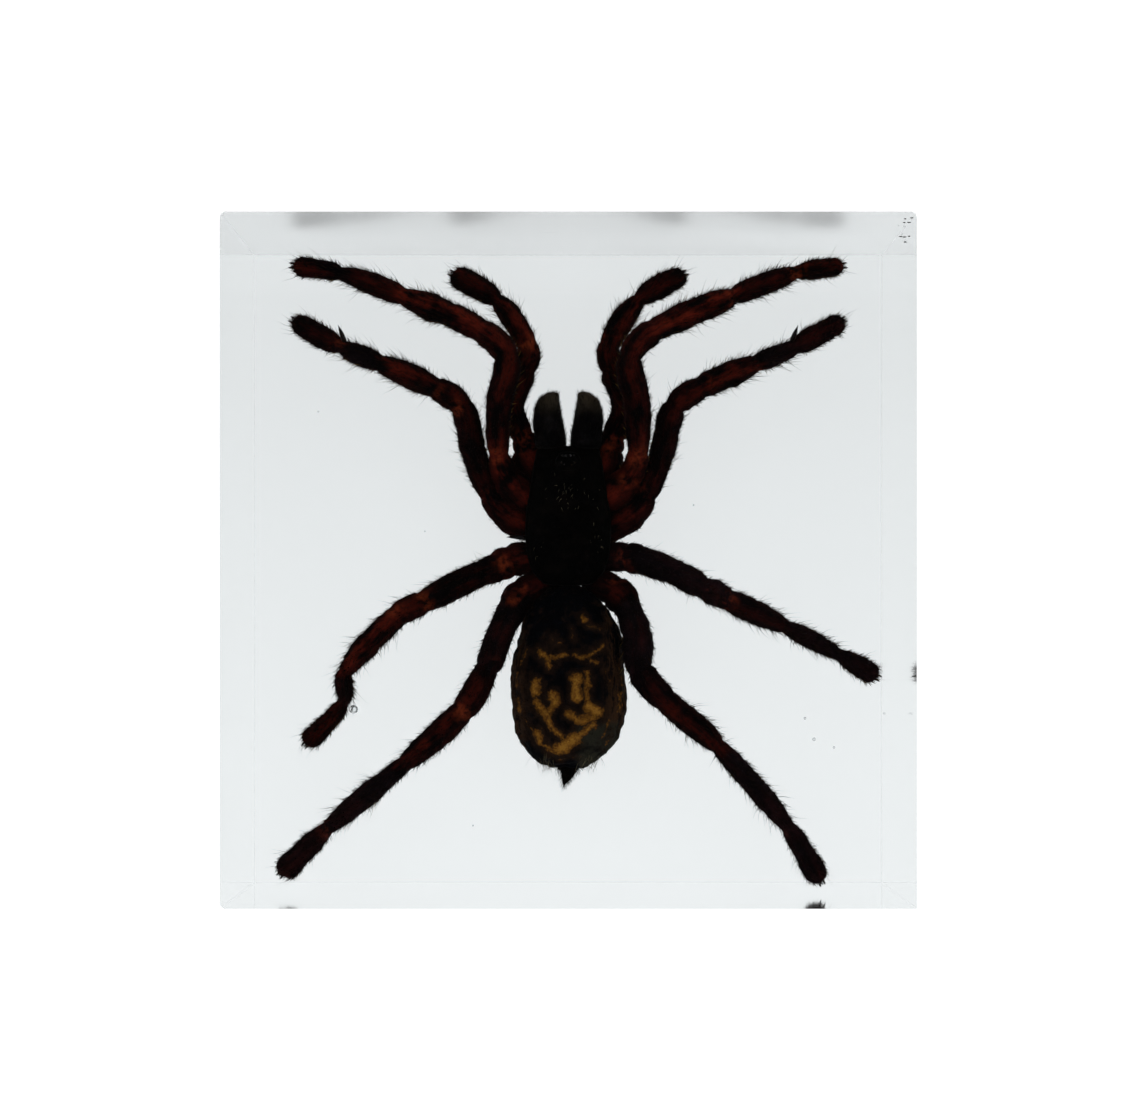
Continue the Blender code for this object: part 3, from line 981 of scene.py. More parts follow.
@dataclass(frozen=True)
class Coat:
    """One kind of hair on one piece.

    length is a range that the skin's nap multiplies, and width is the thickness at the root.
    lean is the angle between a hair and the skin's normal in degrees, spread is how much its
    heading differs from hair to hair, and curl how far it bends along the skin. density names
    the layer of the skin that says where it grows. tone runs from dark at 0 to straw at 1,
    tone_spread is how much it differs, and rim how much paler a hair may be where the skin
    is upright: a painted rim light on the hairs at the outline seen from above.
    """

    count: int
    length: tuple[float, float] = (0.5, 1.0)
    width: float = 0.055
    lean: float = 60.0
    spread: float = 0.32
    curl: float = 0.2
    density: str = "growth"
    tone: float = 0.05
    tone_spread: float = 0.25
    rim_light: float = 0.7


class Strand:
    """The one hair that every other is a copy of: three-sided, tapered, bent once."""

    def __init__(self) -> None:
        """Makes the hair with its root at 0 and its tip at 1."""
        bm = bmesh.new()
        bmesh.ops.create_cone(
            bm, cap_ends=True, segments=3, radius1=1.0, radius2=0.7, depth=0.45,
            matrix=Matrix.Translation((0.0, 0.0, 0.225)),
        )
        top = max(bm.faces, key=lambda face: face.calc_center_median().z)
        grown = bmesh.ops.extrude_discrete_faces(bm, faces=[top])["faces"][0]
        bmesh.ops.pointmerge(bm, verts=grown.verts, merge_co=(0.0, 0.0, 1.0))
        bmesh.ops.recalc_face_normals(bm, faces=bm.faces)
        bm.verts.index_update()
        self.corners = np.array([vert.co[:] for vert in bm.verts])
        self.faces = [[vert.index for vert in face.verts] for face in bm.faces]
        bm.free()


class Fur:
    """A piece of hair mesh grown on one or more skins."""

    strand: Strand | None = None

    def __init__(self, name: str, seed: int) -> None:
        """Starts a bare piece with its own seeded draws.

        Args:
            name: the piece's name.
            seed: the seed of its draws.
        """
        Fur.strand = Fur.strand or Strand()
        self.name = name
        self.draws = np.random.default_rng(seed)
        self.verts: list[np.ndarray] = []
        self.tones: list[np.ndarray] = []

    @staticmethod
    def _read(mesh: bpy.types.Mesh, name: str) -> np.ndarray:
        """One attribute of a mesh as an array.

        Args:
            mesh: the mesh.
            name: the attribute.

        Returns:
            A row for each vertex.
        """
        data = mesh.attributes[name].data
        wide = 3 if mesh.attributes[name].data_type == "FLOAT_VECTOR" else 1
        found = np.empty(len(data) * wide, np.float32)
        data.foreach_get("vector" if wide == 3 else "value", found)
        return found.reshape(-1, wide) if wide == 3 else found

    def _roots(
        self, mesh: bpy.types.Mesh, coat: Coat
    ) -> tuple[np.ndarray, np.ndarray, np.ndarray, np.ndarray]:
        """Draws where the hairs of a coat stand.

        Args:
            mesh: the skin's mesh.
            coat: what grows.

        Returns:
            For each hair its place, the skin's normal, the way that hair lies there, and its
            nap.
        """
        draws = self.draws
        mesh.calc_loop_triangles()
        tris = np.empty(len(mesh.loop_triangles) * 3, np.int32)
        mesh.loop_triangles.foreach_get("vertices", tris)
        tris = tris.reshape(-1, 3)
        co = np.empty(len(mesh.vertices) * 3, np.float32)
        mesh.vertices.foreach_get("co", co)
        co = co.reshape(-1, 3).astype(float) / MM
        corners = co[tris]
        cross = np.cross(corners[:, 1] - corners[:, 0], corners[:, 2] - corners[:, 0])
        area = np.linalg.norm(cross, axis=1)
        density = self._read(mesh, coat.density)[tris].mean(axis=1)
        weight = area * np.clip(density, 0.0, None)
        picked = draws.choice(len(tris), coat.count, p=weight / weight.sum())
        a, b = draws.random((2, coat.count))
        over = a + b > 1.0
        a[over], b[over] = 1.0 - a[over], 1.0 - b[over]
        shares = np.stack([1.0 - a - b, a, b], axis=1)[:, :, None]
        root = (corners[picked] * shares).sum(axis=1)
        normal = cross[picked] / (area[picked][:, None] + 1e-12)
        lay = (self._read(mesh, "lay")[tris][picked] * shares).sum(axis=1)
        nap = (self._read(mesh, "nap")[tris][picked] * shares[:, :, 0]).sum(axis=1)
        lay -= normal * (lay * normal).sum(axis=1, keepdims=True)
        lay /= np.linalg.norm(lay, axis=1, keepdims=True) + 1e-9
        return root, normal, lay, nap

    def grow(self, skin: bpy.types.Object, coat: Coat) -> "Fur":
        """Grows a coat on a skin.

        Args:
            skin: a piece that carries the skin's attributes.
            coat: what grows.

        Returns:
            The fur itself.
        """
        root, normal, lay, nap = self._roots(skin.data, coat)
        draws = self.draws
        lean = np.radians(coat.lean) * draws.uniform(0.7, 1.2, coat.count)[:, None]
        aim = normal * np.cos(lean) + lay * np.sin(lean)
        aim += draws.normal(0.0, coat.spread, aim.shape)
        aim /= np.linalg.norm(aim, axis=1, keepdims=True)
        outside = (aim * normal).sum(axis=1) > LEAST_RISE
        length = nap * draws.uniform(*coat.length, coat.count)
        across = np.cross(aim, draws.normal(0.0, 1.0, aim.shape))
        across /= np.linalg.norm(across, axis=1, keepdims=True) + 1e-9
        beside = np.cross(aim, across)
        bend = lay * coat.curl + draws.normal(0.0, coat.curl * 0.4, aim.shape)
        shape = Fur.strand.corners
        reach = shape[:, 2][None, :, None]
        verts = (
            (root - normal * ROOT_DEPTH)[:, None, :]
            + (aim[:, None, :] * reach + bend[:, None, :] * reach**2) * length[:, None, None]
            + (across[:, None, :] * shape[:, 0][None, :, None]
               + beside[:, None, :] * shape[:, 1][None, :, None]) * coat.width / 2.0
        )
        tone = coat.tone + draws.uniform(0.0, coat.tone_spread, coat.count)
        # Painted light: hairs paler where the skin stands upright, a painted rim light.
        tone += coat.rim_light * (1.0 - np.abs(normal[:, 2])) ** 2 * draws.random(coat.count)
        inside = SLAB_SIDE / 2.0 - HAIR_WALL_GAP
        clear = np.abs(verts[:, :, :2]).max(axis=(1, 2)) < inside
        kept = outside & clear
        self.verts.append(verts[kept])
        self.tones.append(tone[kept])
        return self

    def piece(self, material: bpy.types.Material) -> bpy.types.Object:
        """Joins every hair into one mesh.

        Args:
            material: the hair's finish.

        Returns:
            The object, linked to the scene.
        """
        verts = np.concatenate(self.verts)
        tone = np.concatenate(self.tones)
        count, each = verts.shape[:2]
        faces = Fur.strand.faces
        loops = np.concatenate([np.array(face) for face in faces])
        sizes = np.array([len(face) for face in faces])
        starts = np.concatenate([[0], np.cumsum(sizes)[:-1]])
        base = np.arange(count)[:, None]
        mesh = bpy.data.meshes.new(self.name)
        mesh.vertices.add(count * each)
        mesh.vertices.foreach_set("co", (verts * MM).astype(np.float32).ravel())
        mesh.loops.add(count * len(loops))
        mesh.loops.foreach_set(
            "vertex_index", (loops[None, :] + base * each).astype(np.int32).ravel()
        )
        mesh.polygons.add(count * len(faces))
        mesh.polygons.foreach_set(
            "loop_start", (starts[None, :] + base * len(loops)).astype(np.int32).ravel()
        )
        mesh.update(calc_edges=True)
        mesh.shade_smooth()
        for name, values in (
            ("tone", np.repeat(tone, each)),
            ("reach", np.tile(Fur.strand.corners[:, 2], count)),
        ):
            layer = mesh.attributes.new(name, "FLOAT", "POINT")
            layer.data.foreach_set("value", values.astype(np.float32))
        mesh.materials.append(material)
        return linked(self.name, mesh)


def place_bristles(skin: bpy.types.Object, density: Callable[[float, float], float]) -> None:
    """Says where a body form's long hair grows.

    Args:
        skin: the piece, whose bristle layer is filled.
        density: how densely it grows at x and y in millimetres.
    """
    layer = skin.data.attributes["bristle"].data
    for vert in skin.data.vertices:
        layer[vert.index].value = density(vert.co.x / MM, vert.co.y / MM)


# ---------------------------------------------------------------------------
# Limbs
# ---------------------------------------------------------------------------


class Traits(NamedTuple):
    """What sets one segment of a limb apart from the others.

    warmth is how red its skin is, as painted light glowing through it. growth and bristle are how
    densely its short and its long hair grow, nap is about how long the short hair is, and brush
    how much denser it is underneath. girth is its thickness as a share of the limb's width, and
    neck how much it narrows to the joint at its far end.
    """

    warmth: float
    growth: float
    nap: float
    bristle: float
    brush: float
    girth: float
    neck: float


class Podomere(Enum):
    """The segments of a limb, from its root on."""

    COXA = Traits(0.8, 0.5, 0.5, 0.1, 0.0, 1.0, 0.05)
    TROCHANTER = Traits(0.9, 0.5, 0.5, 0.2, 0.0, 1.0, 0.08)
    FEMUR = Traits(0.45, 0.9, 0.7, 0.6, 0.0, 1.0, 0.16)
    PATELLA = Traits(0.65, 0.9, 0.7, 0.7, 0.0, 0.98, 0.14)
    TIBIA = Traits(0.9, 1.0, 0.85, 1.1, 0.0, 0.97, 0.4)
    METATARSUS = Traits(0.3, 1.3, 0.9, 1.6, 0.8, 0.85, 0.28)
    TARSUS = Traits(0.4, 1.7, 0.8, 0.8, 1.0, 0.92, 0.0)


COXA, TROCHANTER, FEMUR, PATELLA, TIBIA, METATARSUS, TARSUS = Podomere


class Span(NamedTuple):
    """One stretch of a limb: its segment, where it ends and how wide it is there."""

    segment: Podomere
    end: Spot
    width: float


@dataclass
class Limb:
    """A leg or feeler from its root in the body to its tip, with claws and hair.

    membrane is how much the skin draws in at a joint, and pinch how sharply a segment narrows
    towards it. swell is how much thicker the limb is at its root, up to swell_end and then
    less over swell_fade. root_round and tip_round are how long its rounded ends are. glow is
    how red it is, as a share of each segment's warmth: painted light glowing through the skin.
    """

    name: str
    root: Spot
    spans: tuple[Span, ...]
    mirrored: bool = False
    pitch: float = 0.36
    sides: int = 24
    membrane: float = 0.05
    pinch: float = 2.6
    root_width: float = 2.2
    root_round: float = 0.8
    tip_round: float = 1.3
    swell: float = 0.6
    swell_end: float = 3.6
    swell_fade: float = 2.6
    glow: float = 0.6
    hairs: int = 4000
    bristles: int = 280

    def points(self) -> list[Vector]:
        """The limb's path, from a little inside the body.

        Returns:
            The places in order.
        """
        flip = -1.0 if self.mirrored else 1.0
        ends = [Vector(p) for p in (self.root, *(span.end for span in self.spans))]
        ends[0] += (ends[0] - ends[1]).normalized() * 0.7
        return [Vector((p.x * flip, p.y, p.z)) for p in ends]

    def rings(self) -> list[Ring]:
        """The limb's cross-sections, with a pinched and grooved joint between segments.

        Returns:
            The cross-sections in order.
        """
        path = bent_path(self.points(), self.pitch)
        widths = [self.root_width, *(span.width for span in self.spans)]
        kinds = [span.segment.value for span in self.spans]
        rings = tube_rings(path, [1.0] * len(path))
        total = rings[-1].along
        joints = [
            ring.along for ring, (i, u, _) in zip(rings, path)
            if u == 0.0 and i and kinds[i] is not kinds[i - 1]
        ]
        seed = Vector((len(self.name) * 3.7, self.root[1], self.spans[-1].end[0]))
        for ring, (i, u, _) in zip(rings, path):
            half = (widths[i] + (widths[i + 1] - widths[i]) * u) / 2.0
            if u < 0.5 and i and kinds[i] is not kinds[i - 1]:
                half *= 1.0 - kinds[i - 1].neck * (1.0 - 2.0 * u) ** self.pinch
            if u > 0.5 and i < len(kinds) - 1 and kinds[i] is not kinds[i + 1]:
                half *= 1.0 - kinds[i].neck * (2.0 * u - 1.0) ** self.pinch
            near = min((abs(ring.along - joint) for joint in joints), default=9.0)
            half *= 1.0 - self.membrane * bell(near, 0.32)
            half *= 1.0 + 0.1 * noise.noise(seed + Vector((ring.along * 0.5, 0.0, 0.0)))
            half *= 1.0 + 0.07 * noise.noise(seed + Vector((ring.along * 1.6, 5.0, 0.0)))
            half *= rounded(total - ring.along, self.tip_round)
            half *= rounded(ring.along, self.root_round)
            past = max(ring.along - self.swell_end, 0.0)
            half *= 1.0 + self.swell * bell(past, self.swell_fade)
            blend = min(u / 0.15, 1.0) if i else 1.0
            before = kinds[max(i - 1, 0)]
            half *= before.girth + (kinds[i].girth - before.girth) * blend
            for vector in (ring.side, ring.up, ring.down):
                vector *= half
            ring.up *= 1.04
            for trait in ("warmth", "growth", "nap", "bristle", "brush"):
                here, there = getattr(kinds[i], trait), getattr(before, trait)
                setattr(ring, trait, there + (here - there) * blend)
            ring.warmth *= self.glow
            ring.joint = bell(near, 0.85)
            ring.growth *= 1.0 - 0.4 * bell(near, 0.4)
            ring.bristle *= 0.35 + 0.9 * u
        return rings

    def relief(self, place: Vector, skin: Vector) -> float:
        """The dried skin's lengthwise folds and dents.

        Args:
            place: the place in millimetres.
            skin: its skin coordinates.

        Returns:
            The rise in millimetres.
        """
        folds = noise.noise(Vector((skin.x * 0.22, skin.y * 1.25, skin.z * 1.25)))
        dents = noise.noise(place * 1.1)
        bumps = noise.noise(place * 2.3)
        return 0.10 * folds + 0.06 * dents + 0.05 * bumps

    def build(self, palette: Palette) -> None:
        """Makes the limb's skin and its hair.

        Args:
            palette: the finishes to choose from.
        """
        bm = bmesh.new()
        verts = loft(bm, self.rings(), self.sides)
        push(bm, verts, self.relief)
        skin = to_piece(bm, f"{self.name}_skin", palette.leg)
        settle(skin, Slot.LEGS, [self.name])
        seed = sum(map(ord, self.name))
        fur = Fur(f"{self.name}_hair", seed)
        fur.grow(skin, Coat(self.hairs))
        fur.grow(skin, Coat(
            self.bristles, length=(1.1, 2.4), width=0.045, lean=42.0, spread=0.26, curl=0.3,
            density="bristle", tone=0.1, tone_spread=0.25, rim_light=0.6
        ))
        fur.grow(skin, Coat(
            self.hairs // 5, length=(0.3, 0.8), width=0.09, lean=36.0, spread=0.4, tone=0.0,
            rim_light=0.5
        ))
        settle(fur.piece(palette.leg_hair), Slot.LEGS)

    def claws(self, bm: bmesh.types.BMesh) -> None:
        """Adds the tip's two curved claws to a mesh.

        Args:
            bm: the mesh that they are added to.
        """
        end, before = self.points()[-1], self.points()[-2]
        heading = (end - before).normalized()
        side = heading.cross(Vector((0.0, 0.0, 1.0))).normalized()
        for sign in (-1.0, 1.0):
            start = end - heading * 0.5 + side * sign * 0.28
            points = [
                start, start + heading * 0.7 + Vector((0.0, 0.0, 0.05)),
                start + heading * 1.05 + Vector((0.0, 0.0, -0.4)),
            ]
            swept(bm, [tuple(p) for p in points], (0.28, 0.2, 0.05), pitch=0.14, sides=8)


LEG_1 = (
    Span(COXA, (-5.2, 8.1, 10.5), 2.9), Span(COXA, (-7.1, 10.2, 11.4), 2.9),
    Span(TROCHANTER, (-7.85, 12.6, 13.6), 2.6), Span(FEMUR, (-7.7, 17.8, 15.6), 3.0),
    Span(FEMUR, (-6.9, 23.0, 16.0), 3.1), Span(PATELLA, (-9.8, 26.2, 15.0), 3.0),
    Span(TIBIA, (-18.7, 30.4, 12.6), 3.2), Span(METATARSUS, (-25.9, 33.2, 11.6), 2.5),
    Span(TARSUS, (-31.4, 34.1, 11.2), 2.3),
)
LEG_2 = (
    Span(COXA, (-5.6, 5.0, 10.1), 2.3), Span(COXA, (-7.6, 6.3, 10.5), 2.7),
    Span(TROCHANTER, (-8.9, 8.1, 10.6), 2.8), Span(FEMUR, (-10.7, 12.8, 11.9), 2.8),
    Span(FEMUR, (-12.0, 17.7, 14.2), 2.9), Span(PATELLA, (-14.9, 19.8, 14.2), 2.9),
    Span(TIBIA, (-21.3, 22.8, 12.6), 2.9), Span(METATARSUS, (-25.8, 24.8, 11.6), 2.6),
    Span(TARSUS, (-31.4, 27.9, 11.2), 2.6),
)
FEELER = (
    Span(COXA, (-3.9, 11.8, 10.0), 3.1), Span(COXA, (-4.6, 13.6, 10.1), 2.8),
    Span(TROCHANTER, (-5.2, 14.8, 10.4), 2.6), Span(FEMUR, (-6.35, 18.0, 11.0), 2.8),
    Span(FEMUR, (-4.9, 22.2, 11.6), 2.8), Span(PATELLA, (-4.7, 25.0, 11.6), 2.7),
    Span(TIBIA, (-8.1, 30.2, 11.1), 2.8), Span(TARSUS, (-13.3, 33.3, 10.8), 2.8),
)
LIMBS = (
    Limb("pedipalp_left", (-2.2, 9.7, 9.8), FEELER, glow=0.75, hairs=2800, bristles=160),
    Limb("pedipalp_right", (-2.2, 9.7, 9.8), FEELER, True, glow=0.75, hairs=2800, bristles=160),
    Limb("leg_1_left", (-2.9, 6.6, 10.0), LEG_1, glow=0.95),
    Limb("leg_1_right", (-2.9, 6.6, 10.0), LEG_1, True, glow=0.95),
    Limb("leg_2_left", (-3.1, 3.9, 9.9), LEG_2),
    Limb("leg_2_right", (-3.1, 3.9, 9.9), LEG_2, True),
    Limb("leg_3_left", (-3.1, 1.2, 9.9), (
        Span(COXA, (-6.6, 0.5, 10.7), 2.5), Span(TROCHANTER, (-8.0, -0.2, 11.4), 2.9),
        Span(FEMUR, (-12.0, -2.0, 13.5), 3.1), Span(FEMUR, (-16.3, -4.3, 14.6), 2.8),
        Span(PATELLA, (-19.1, -5.8, 14.8), 2.9), Span(TIBIA, (-25.3, -12.2, 12.2), 2.7),
        Span(METATARSUS, (-25.6, -15.6, 11.4), 2.1), Span(TARSUS, (-30.0, -20.5, 11.0), 2.6),
    ), glow=0.75),
    Limb("leg_3_right", (3.1, 1.2, 9.9), (
        Span(COXA, (6.8, 0.9, 10.7), 2.2), Span(TROCHANTER, (8.2, 0.6, 11.4), 2.9),
        Span(FEMUR, (11.6, -0.7, 13.0), 3.1), Span(FEMUR, (15.2, -2.6, 14.0), 3.0),
        Span(PATELLA, (18.0, -4.0, 14.2), 2.8), Span(TIBIA, (24.5, -7.0, 12.6), 2.6),
        Span(METATARSUS, (30.8, -10.2, 11.6), 2.1), Span(TARSUS, (35.3, -12.8, 11.2), 2.7),
    ), glow=0.25),
    Limb("leg_4_left", (-2.5, -1.6, 9.9), (
        Span(COXA, (-5.0, -3.2, 10.6), 2.5), Span(TROCHANTER, (-6.2, -4.8, 11.3), 2.8),
        Span(FEMUR, (-7.9, -8.3, 13.4), 3.1), Span(FEMUR, (-9.1, -11.7, 14.7), 3.2),
        Span(PATELLA, (-11.8, -16.4, 14.8), 3.2), Span(TIBIA, (-18.6, -22.6, 12.8), 3.0),
        Span(METATARSUS, (-27.4, -30.0, 11.4), 2.6), Span(TARSUS, (-32.8, -35.3, 11.0), 3.2),
    ), glow=0.5),
    Limb("leg_4_right", (2.5, -1.6, 9.9), (
        Span(COXA, (5.2, -2.9, 10.6), 2.3), Span(TROCHANTER, (6.6, -4.5, 11.3), 2.8),
        Span(FEMUR, (7.75, -8.0, 13.3), 3.4), Span(FEMUR, (8.1, -11.9, 14.6), 3.5),
        Span(PATELLA, (10.9, -15.3, 14.9), 3.1), Span(TIBIA, (17.0, -20.6, 12.8), 3.1),
        Span(METATARSUS, (25.0, -29.8, 11.4), 2.6), Span(TARSUS, (28.9, -36.2, 11.0), 2.7),
    ), glow=0.4),
)
SPURS = (
    ((-25.3, 25.0, 11.8), (-25.7, 26.2, 12.2), (-26.1, 27.2, 12.4)),
    ((25.3, 25.0, 11.8), (25.7, 26.2, 12.2), (26.1, 27.2, 12.4)),
    ((-4.4, 3.1, 11.2), (-5.8, 3.2, 11.3), (-7.1, 3.2, 11.4)),
)


def build_claws(palette: Palette) -> None:
    """Makes the claws of every limb, and a few stray spurs, as one piece.

    Args:
        palette: the finishes to choose from.
    """
    bm = bmesh.new()
    for limb in LIMBS:
        limb.claws(bm)
    for spur in SPURS:
        swept(bm, spur, (0.7, 0.5, 0.1), pitch=0.2, sides=8)
    settle(to_piece(bm, "tarsal_claws", palette.fang), Slot.CHITIN)


# ---------------------------------------------------------------------------
# Body
# ---------------------------------------------------------------------------


@dataclass
class Cephalothorax:
    """The shield with its furrows, the eyes' mound and eyes, the sternum and the lip plate."""

    shield: tuple[Station, ...] = (
        Station(13.4, 0, 12.9, 0, 0, 0), Station(13.1, 0, 12.6, 3.5, 1.7, 0.9),
        Station(12.0, 0, 12.4, 3.8, 2.6, 0.9), Station(10.2, 0, 12.2, 4.1, 3.1, 0.7),
        Station(8.0, 0, 12.1, 4.5, 3.2, 0.6), Station(5.8, 0, 12.0, 4.8, 2.8, 0.5),
        Station(3.6, 0, 12.0, 4.9, 2.6, 0.5), Station(1.4, 0, 12.0, 4.7, 2.5, 0.5),
        Station(-0.7, 0, 12.0, 4.1, 2.1, 0.5), Station(-2.0, 0, 12.0, 2.9, 1.4, 0.5),
        Station(-2.4, 0, 12.0, 0, 0, 0),
    )
    sternum: tuple[Station, ...] = (
        Station(8.8, 0, 10.2, 0, 0, 0), Station(8.0, 0, 10.3, 1.2, 1.5, 1.1),
        Station(6.0, 0, 10.4, 2.0, 1.9, 1.7), Station(3.4, 0, 10.4, 2.2, 2.0, 1.9),
        Station(0.8, 0, 10.4, 1.9, 1.9, 1.7), Station(-1.0, 0, 10.5, 1.1, 1.5, 1.1),
        Station(-1.7, 0, 10.6, 0, 0, 0),
    )
    lip: tuple[Station, ...] = (
        Station(10.6, 0, 9.9, 0, 0, 0), Station(10.3, 0, 9.9, 0.8, 0.9, 0.7),
        Station(9.5, 0, 9.9, 1.15, 1.2, 0.9), Station(8.9, 0, 10.0, 0.95, 1.1, 0.7),
        Station(8.7, 0, 10.0, 0, 0, 0),
    )
    mound: tuple[Station, ...] = (
        Station(12.6, 0, 14.6, 0, 0, 0), Station(12.3, 0, 14.6, 1.1, 0.8, 0.4),
        Station(11.5, 0, 14.7, 1.5, 1.05, 0.5), Station(10.7, 0, 14.8, 1.2, 0.8, 0.4),
        Station(10.3, 0, 14.8, 0, 0, 0),
    )
    eyes: tuple[tuple[float, float, float, float], ...] = (
        (0.26, 12.05, 15.52, 0.17), (0.66, 12.12, 15.3, 0.15), (0.7, 11.28, 15.52, 0.14),
        (0.4, 11.06, 15.62, 0.11),
    )
    pit: tuple[float, float] = (0.0, 3.4)
    furrows: tuple[float, ...] = (38.0, 68.0, 98.0, 130.0)

    def relief(self, place: Vector, skin: Vector) -> float:
        """The shield's central pit and its radiating furrows.

        Args:
            place: the place in millimetres.
            skin: its skin coordinates.

        Returns:
            The rise in millimetres.
        """
        away = Vector((abs(place.x) - self.pit[0], place.y - self.pit[1]))
        reach = away.length
        rise = -0.55 * bell(away.y, 0.35) * bell(away.x, 0.85)
        bearing = math.degrees(math.atan2(away.x, away.y)) if reach > 1e-6 else 0.0
        for furrow in self.furrows:
            across = math.radians(bearing - furrow) * reach
            rise -= 0.2 * bell(across, 0.34) * bell(reach - 2.9, 1.9)
        return (rise + 0.05 * noise.noise(place * 1.7)) * (1.0 if skin.z > 0.0 else 0.3)

    def build(self, palette: Palette) -> None:
        """Makes the shield, its eyes, the plates underneath and their hair.

        Args:
            palette: the finishes to choose from.
        """
        bm = bmesh.new()
        verts = BodyForm(self.shield, sides=72, steps=8, nap=0.5).add(bm)
        push(bm, verts, self.relief)
        BodyForm(self.mound, sides=28, steps=6, growth=0.2, nap=0.3).add(bm)
        shield = settle(to_piece(bm, "carapace", palette.shell), Slot.CHITIN, ["cephalothorax"])
        bm = bmesh.new()
        BodyForm(self.sternum, sides=40, steps=8, nap=0.7).add(bm)
        BodyForm(self.lip, sides=28, steps=6, nap=0.4).add(bm)
        plates = settle(to_piece(bm, "sternum_and_lip", palette.plate), Slot.CHITIN)
        self.add_eyes(palette)
        fur = Fur("body_hair", 71)
        fur.grow(shield, Coat(
            3600, length=(0.4, 0.9), width=0.03, lean=66.0, spread=0.28, curl=0.2, tone=0.0,
            tone_spread=0.2, rim_light=0.25
        ))
        fur.grow(plates, Coat(
            1500, length=(0.6, 1.2), width=0.04, lean=50.0, tone=0.1, tone_spread=0.35
        ))
        # Pale hairs round the crown: partly real hairs, partly a painted highlight for its glints.
        place_bristles(shield, self.pale_hairs_and_glints)
        fur.grow(shield, Coat(
            140, length=(0.5, 1.1), width=0.05, lean=60.0, spread=0.6, curl=0.3, density="bristle",
            tone=0.6, tone_spread=0.4, rim_light=0.0
        ))
        settle(fur.piece(palette.body_hair), Slot.CHITIN)

    @staticmethod
    def pale_hairs_and_glints(x: float, y: float) -> float:
        """Where pale hairs lie, partly as painted glints: round the crown and in a row down each
        slope.

        Args:
            x: the place across the shield.
            y: the place along it.

        Returns:
            How densely they lie there.
        """
        crown = bell(x - 0.2, 1.9) * bell(y - 7.7, 1.5)
        slope = bell(abs(x) - 3.3, 0.35) * bell(y - 2.6, 1.3)
        return crown + slope * 0.6

    def add_eyes(self, palette: Palette) -> None:
        """Makes the eight eyes on their mound.

        Args:
            palette: the finishes to choose from.
        """
        bm = bmesh.new()
        for x, y, z, radius in self.eyes:
            for side in Side:
                place = Matrix.Translation((x * side.value, y, z))
                bmesh.ops.create_icosphere(bm, subdivisions=2, radius=radius, matrix=place)
        settle(to_piece(bm, "eyes", palette.eye), Slot.CHITIN)


@dataclass
class Jaw:
    """A chelicera: its swollen base and the fang folded under it."""

    side: Side
    base: tuple[Station, ...] = (
        Station(19.6, -1.75, 12.2, 0, 0, 0), Station(19.4, -1.8, 12.3, 0.72, 0.9, 0.8),
        Station(18.5, -2.25, 12.5, 1.25, 1.8, 1.5), Station(16.6, -2.32, 12.8, 1.62, 2.3, 1.9),
        Station(14.8, -2.1, 13.0, 1.75, 2.3, 1.8), Station(13.5, -1.98, 13.0, 1.75, 2.0, 1.5),
        Station(12.9, -2.0, 13.0, 0, 0, 0),
    )
    fang: tuple[Spot, ...] = (
        (-2.1, 18.4, 11.2), (-2.0, 18.1, 10.2), (-1.8, 16.8, 9.6), (-1.6, 15.2, 9.5),
        (-1.4, 14.2, 9.8),
    )
    fang_widths: tuple[float, ...] = (1.3, 1.2, 0.9, 0.6, 0.25)

    def build(self, palette: Palette) -> None:
        """Makes the base, the fang and their hair.

        Args:
            palette: the finishes to choose from.
        """
        word = self.side.name.lower()
        flip = -self.side.value
        stations = tuple(s._replace(x=s.x * flip) for s in self.base)
        bm = bmesh.new()
        verts = BodyForm(
            stations, sides=36, steps=8, nap=0.8, lay=Vector((0.0, 1.0, -0.15))
        ).add(bm)
        push(bm, verts, lambda place, skin: 0.05 * noise.noise(place * 1.3))
        base = to_piece(bm, f"jaw_{word}", palette.jaw)
        settle(base, Slot.CHITIN, [f"chelicera_{word}"])
        bm = bmesh.new()
        swept(
            bm, [(x * flip, y, z) for x, y, z in self.fang], self.fang_widths, pitch=0.22, sides=20
        )
        settle(to_piece(bm, f"fang_{word}", palette.fang), Slot.CHITIN)
        fur = Fur(f"jaw_{word}_hair", 31 + self.side.value)
        fur.grow(base, Coat(
            2200, length=(0.4, 0.8), width=0.032, lean=66.0, spread=0.2, tone=0.05,
            tone_spread=0.3, rim_light=0.3
        ))
        settle(fur.piece(palette.body_hair), Slot.CHITIN)


